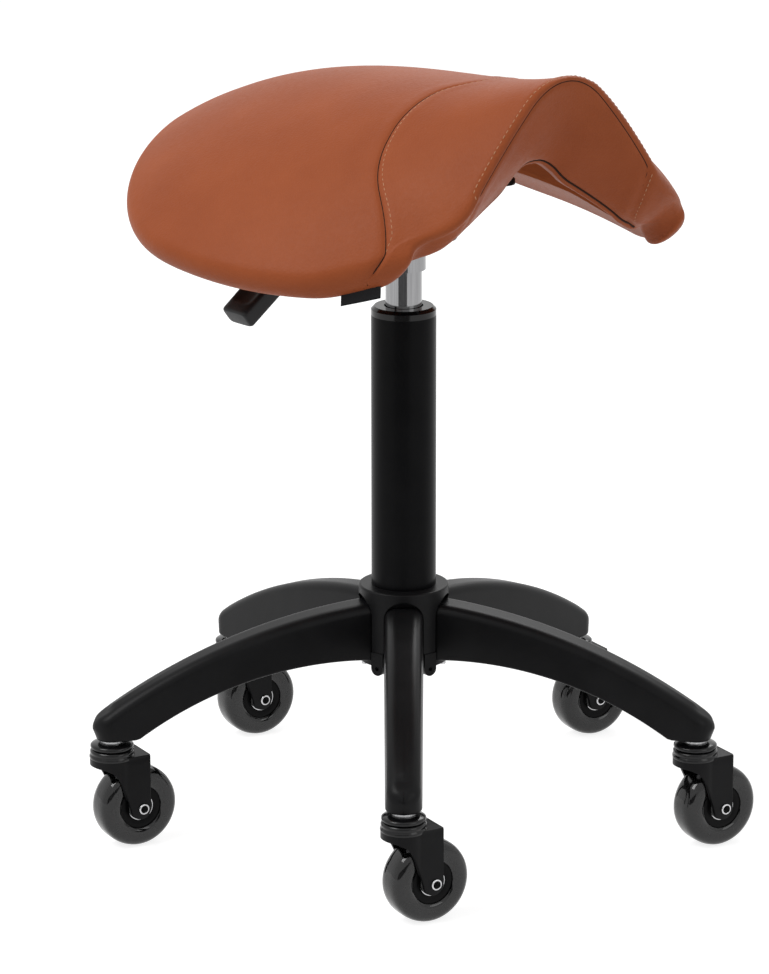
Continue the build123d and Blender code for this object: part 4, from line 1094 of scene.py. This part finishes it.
housing_shape = drawn_box(HOUSING_BOX, HOUSING_LEVELS, HOUSING_EASING)
housing = add_piece("drawn_housing", housing_shape, POWDER, "seat")
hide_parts("mechanism_housing")
pad_shape = drawn_box(PAD_BOX, PAD_LEVELS, PAD_EASING)
pad = add_piece("mounting_pad", pad_shape, PLASTIC, "seat")
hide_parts("seat_shell")

# Plain tag sewn into the edge of one wing
tag_shares = np.linspace(0.0, 1.0, TAG_POINTS)[:, None]
tag_line = np.array(TAG_ENDS[0]) * (1.0 - tag_shares) + np.array(TAG_ENDS[1]) * tag_shares
tag_out = unit(np.cross(tag_line[-1] - tag_line[0], UP))
tag_rings = []
for t in np.linspace(0.0, 1.0, TAG_ROWS):
    sway = tag_out * (TAG_LEAN * t * t + TAG_WAVE * np.sin(pi * tag_shares) * t)
    tag_rings.append(tag_line - UP * TAG_DROP * t + sway)
tag_sheet = np.array(tag_rings)
front_side = tag_sheet + TAG_HALF_THICKNESS * tag_out
back_side = tag_sheet - TAG_HALF_THICKNESS * tag_out
tag_loops = [np.concatenate([front_side[:, k], back_side[::-1, k]]) for k in range(len(tag_line))]
add_piece("edge_tag", loft(to_part(np.array(tag_loops))), LABEL, "seat")


# Floor, card and world
def flat_sheet(name, corners, made):
    """A flat sheet beside the object, not part of it."""
    mesh = bpy.data.meshes.new(name)
    mesh.from_pydata(corners, [], [(0, 1, 2, 3)])
    mesh.materials.append(made)
    sheet = bpy.data.objects.new(name, mesh)
    bpy.context.scene.collection.objects.link(sheet)
    return sheet


def cleared_tree(holder):
    """An empty node tree of a material or the world."""
    holder.use_nodes = True
    holder.node_tree.nodes.clear()
    return holder.node_tree


def grey_shader(tree, kind, grey, strength=None):
    """A shader of one grey tone."""
    made = tree.nodes.new(kind)
    made.inputs["Color"].default_value = (grey, grey, grey, 1.0)
    if strength is not None:
        made.inputs["Strength"].default_value = strength
    return made


def finish_tree(tree, kind, hidden, seen):
    """One shader for rays from the camera, a gloss or a clear piece, and another for the rest."""
    path = tree.nodes.new("ShaderNodeLightPath")
    share = path.outputs["Is Camera Ray"]
    for other in ("Is Glossy Ray", "Is Transmission Ray"):
        either = tree.nodes.new("ShaderNodeMath")
        either.operation = "MAXIMUM"
        tree.links.new(share, either.inputs[0])
        tree.links.new(path.outputs[other], either.inputs[1])
        share = either.outputs[0]
    chosen = tree.nodes.new("ShaderNodeMixShader")
    tree.links.new(share, chosen.inputs["Fac"])
    tree.links.new(hidden.outputs[0], chosen.inputs[1])
    tree.links.new(seen.outputs[0], chosen.inputs[2])
    result = tree.nodes.new(kind)
    tree.links.new(chosen.outputs[0], result.inputs["Surface"])


paper = bpy.data.materials.new("white_floor")
tree = cleared_tree(paper)
plain = grey_shader(tree, "ShaderNodeBsdfDiffuse", FLOOR_GREY)
shadow_part = grey_shader(tree, "ShaderNodeBsdfDiffuse", FLOOR_SHADOW_GREY)
glow = grey_shader(tree, "ShaderNodeEmission", 1.0, FLOOR_GLOW)
summed = tree.nodes.new("ShaderNodeAddShader")
tree.links.new(shadow_part.outputs[0], summed.inputs[0])
tree.links.new(glow.outputs[0], summed.inputs[1])
finish_tree(tree, "ShaderNodeOutputMaterial", plain, summed)
floor_corners = [(x * FLOOR_HALF, y * FLOOR_HALF, 0.0) for x, y in ((-1, -1), (1, -1), (1, 1), (-1, 1))]
floor = flat_sheet("floor", floor_corners, paper)

dull = coated("dark_card", (0.23, 0.23, 0.23), (0.27, 0.27, 0.27), 0.9, 300.0, 0.0001, 0.05)
card_corners = [(CARD_SPAN[i], CARD_PLACE, k * CARD_HEIGHT) for i, k in ((0, 0), (1, 0), (1, 1), (0, 1))]
card = flat_sheet("dark_card", card_corners, dull)
card.visible_camera = False

world = bpy.data.worlds.new("studio")
bpy.context.scene.world = world
tree = cleared_tree(world)
soft = grey_shader(tree, "ShaderNodeBackground", 1.0, WORLD_LIGHT)
white = grey_shader(tree, "ShaderNodeBackground", 1.0, 1.0)
finish_tree(tree, "ShaderNodeOutputWorld", soft, white)


# Lights
def soft_light(name, place, target, size, power):
    """A large square lamp turned to a target."""
    lamp = bpy.data.lights.new(name, "AREA")
    lamp.size = size
    lamp.energy = power
    holder = bpy.data.objects.new(name, lamp)
    holder.location = place
    holder.rotation_euler = (Vector(target) - Vector(place)).to_track_quat("-Z", "Y").to_euler()
    bpy.context.scene.collection.objects.link(holder)


soft_light("key", (-1.8, -0.9, 2.7), (0.0, 0.0, 0.4), 1.6, 50.0)
soft_light("fill", (2.2, -1.8, 1.4), (0.0, 0.0, 0.4), 1.4, 10.0)
soft_light("back", (0.6, 2.2, 2.2), (0.0, 0.0, 0.5), 1.4, 22.0)

# Camera
lens = bpy.data.cameras.new("photo_camera")
lens.sensor_width = CAMERA_SENSOR
lens.lens = CAMERA_LENS
lens.shift_x = CAMERA_SHIFT
eye = bpy.data.objects.new("photo_camera", lens)
eye.location = CAMERA_PLACE
eye.rotation_euler = (radians(90.0 - CAMERA_PITCH), 0.0, 0.0)
bpy.context.scene.collection.objects.link(eye)
bpy.context.scene.camera = eye
bpy.context.scene.view_settings.view_transform = "Standard"
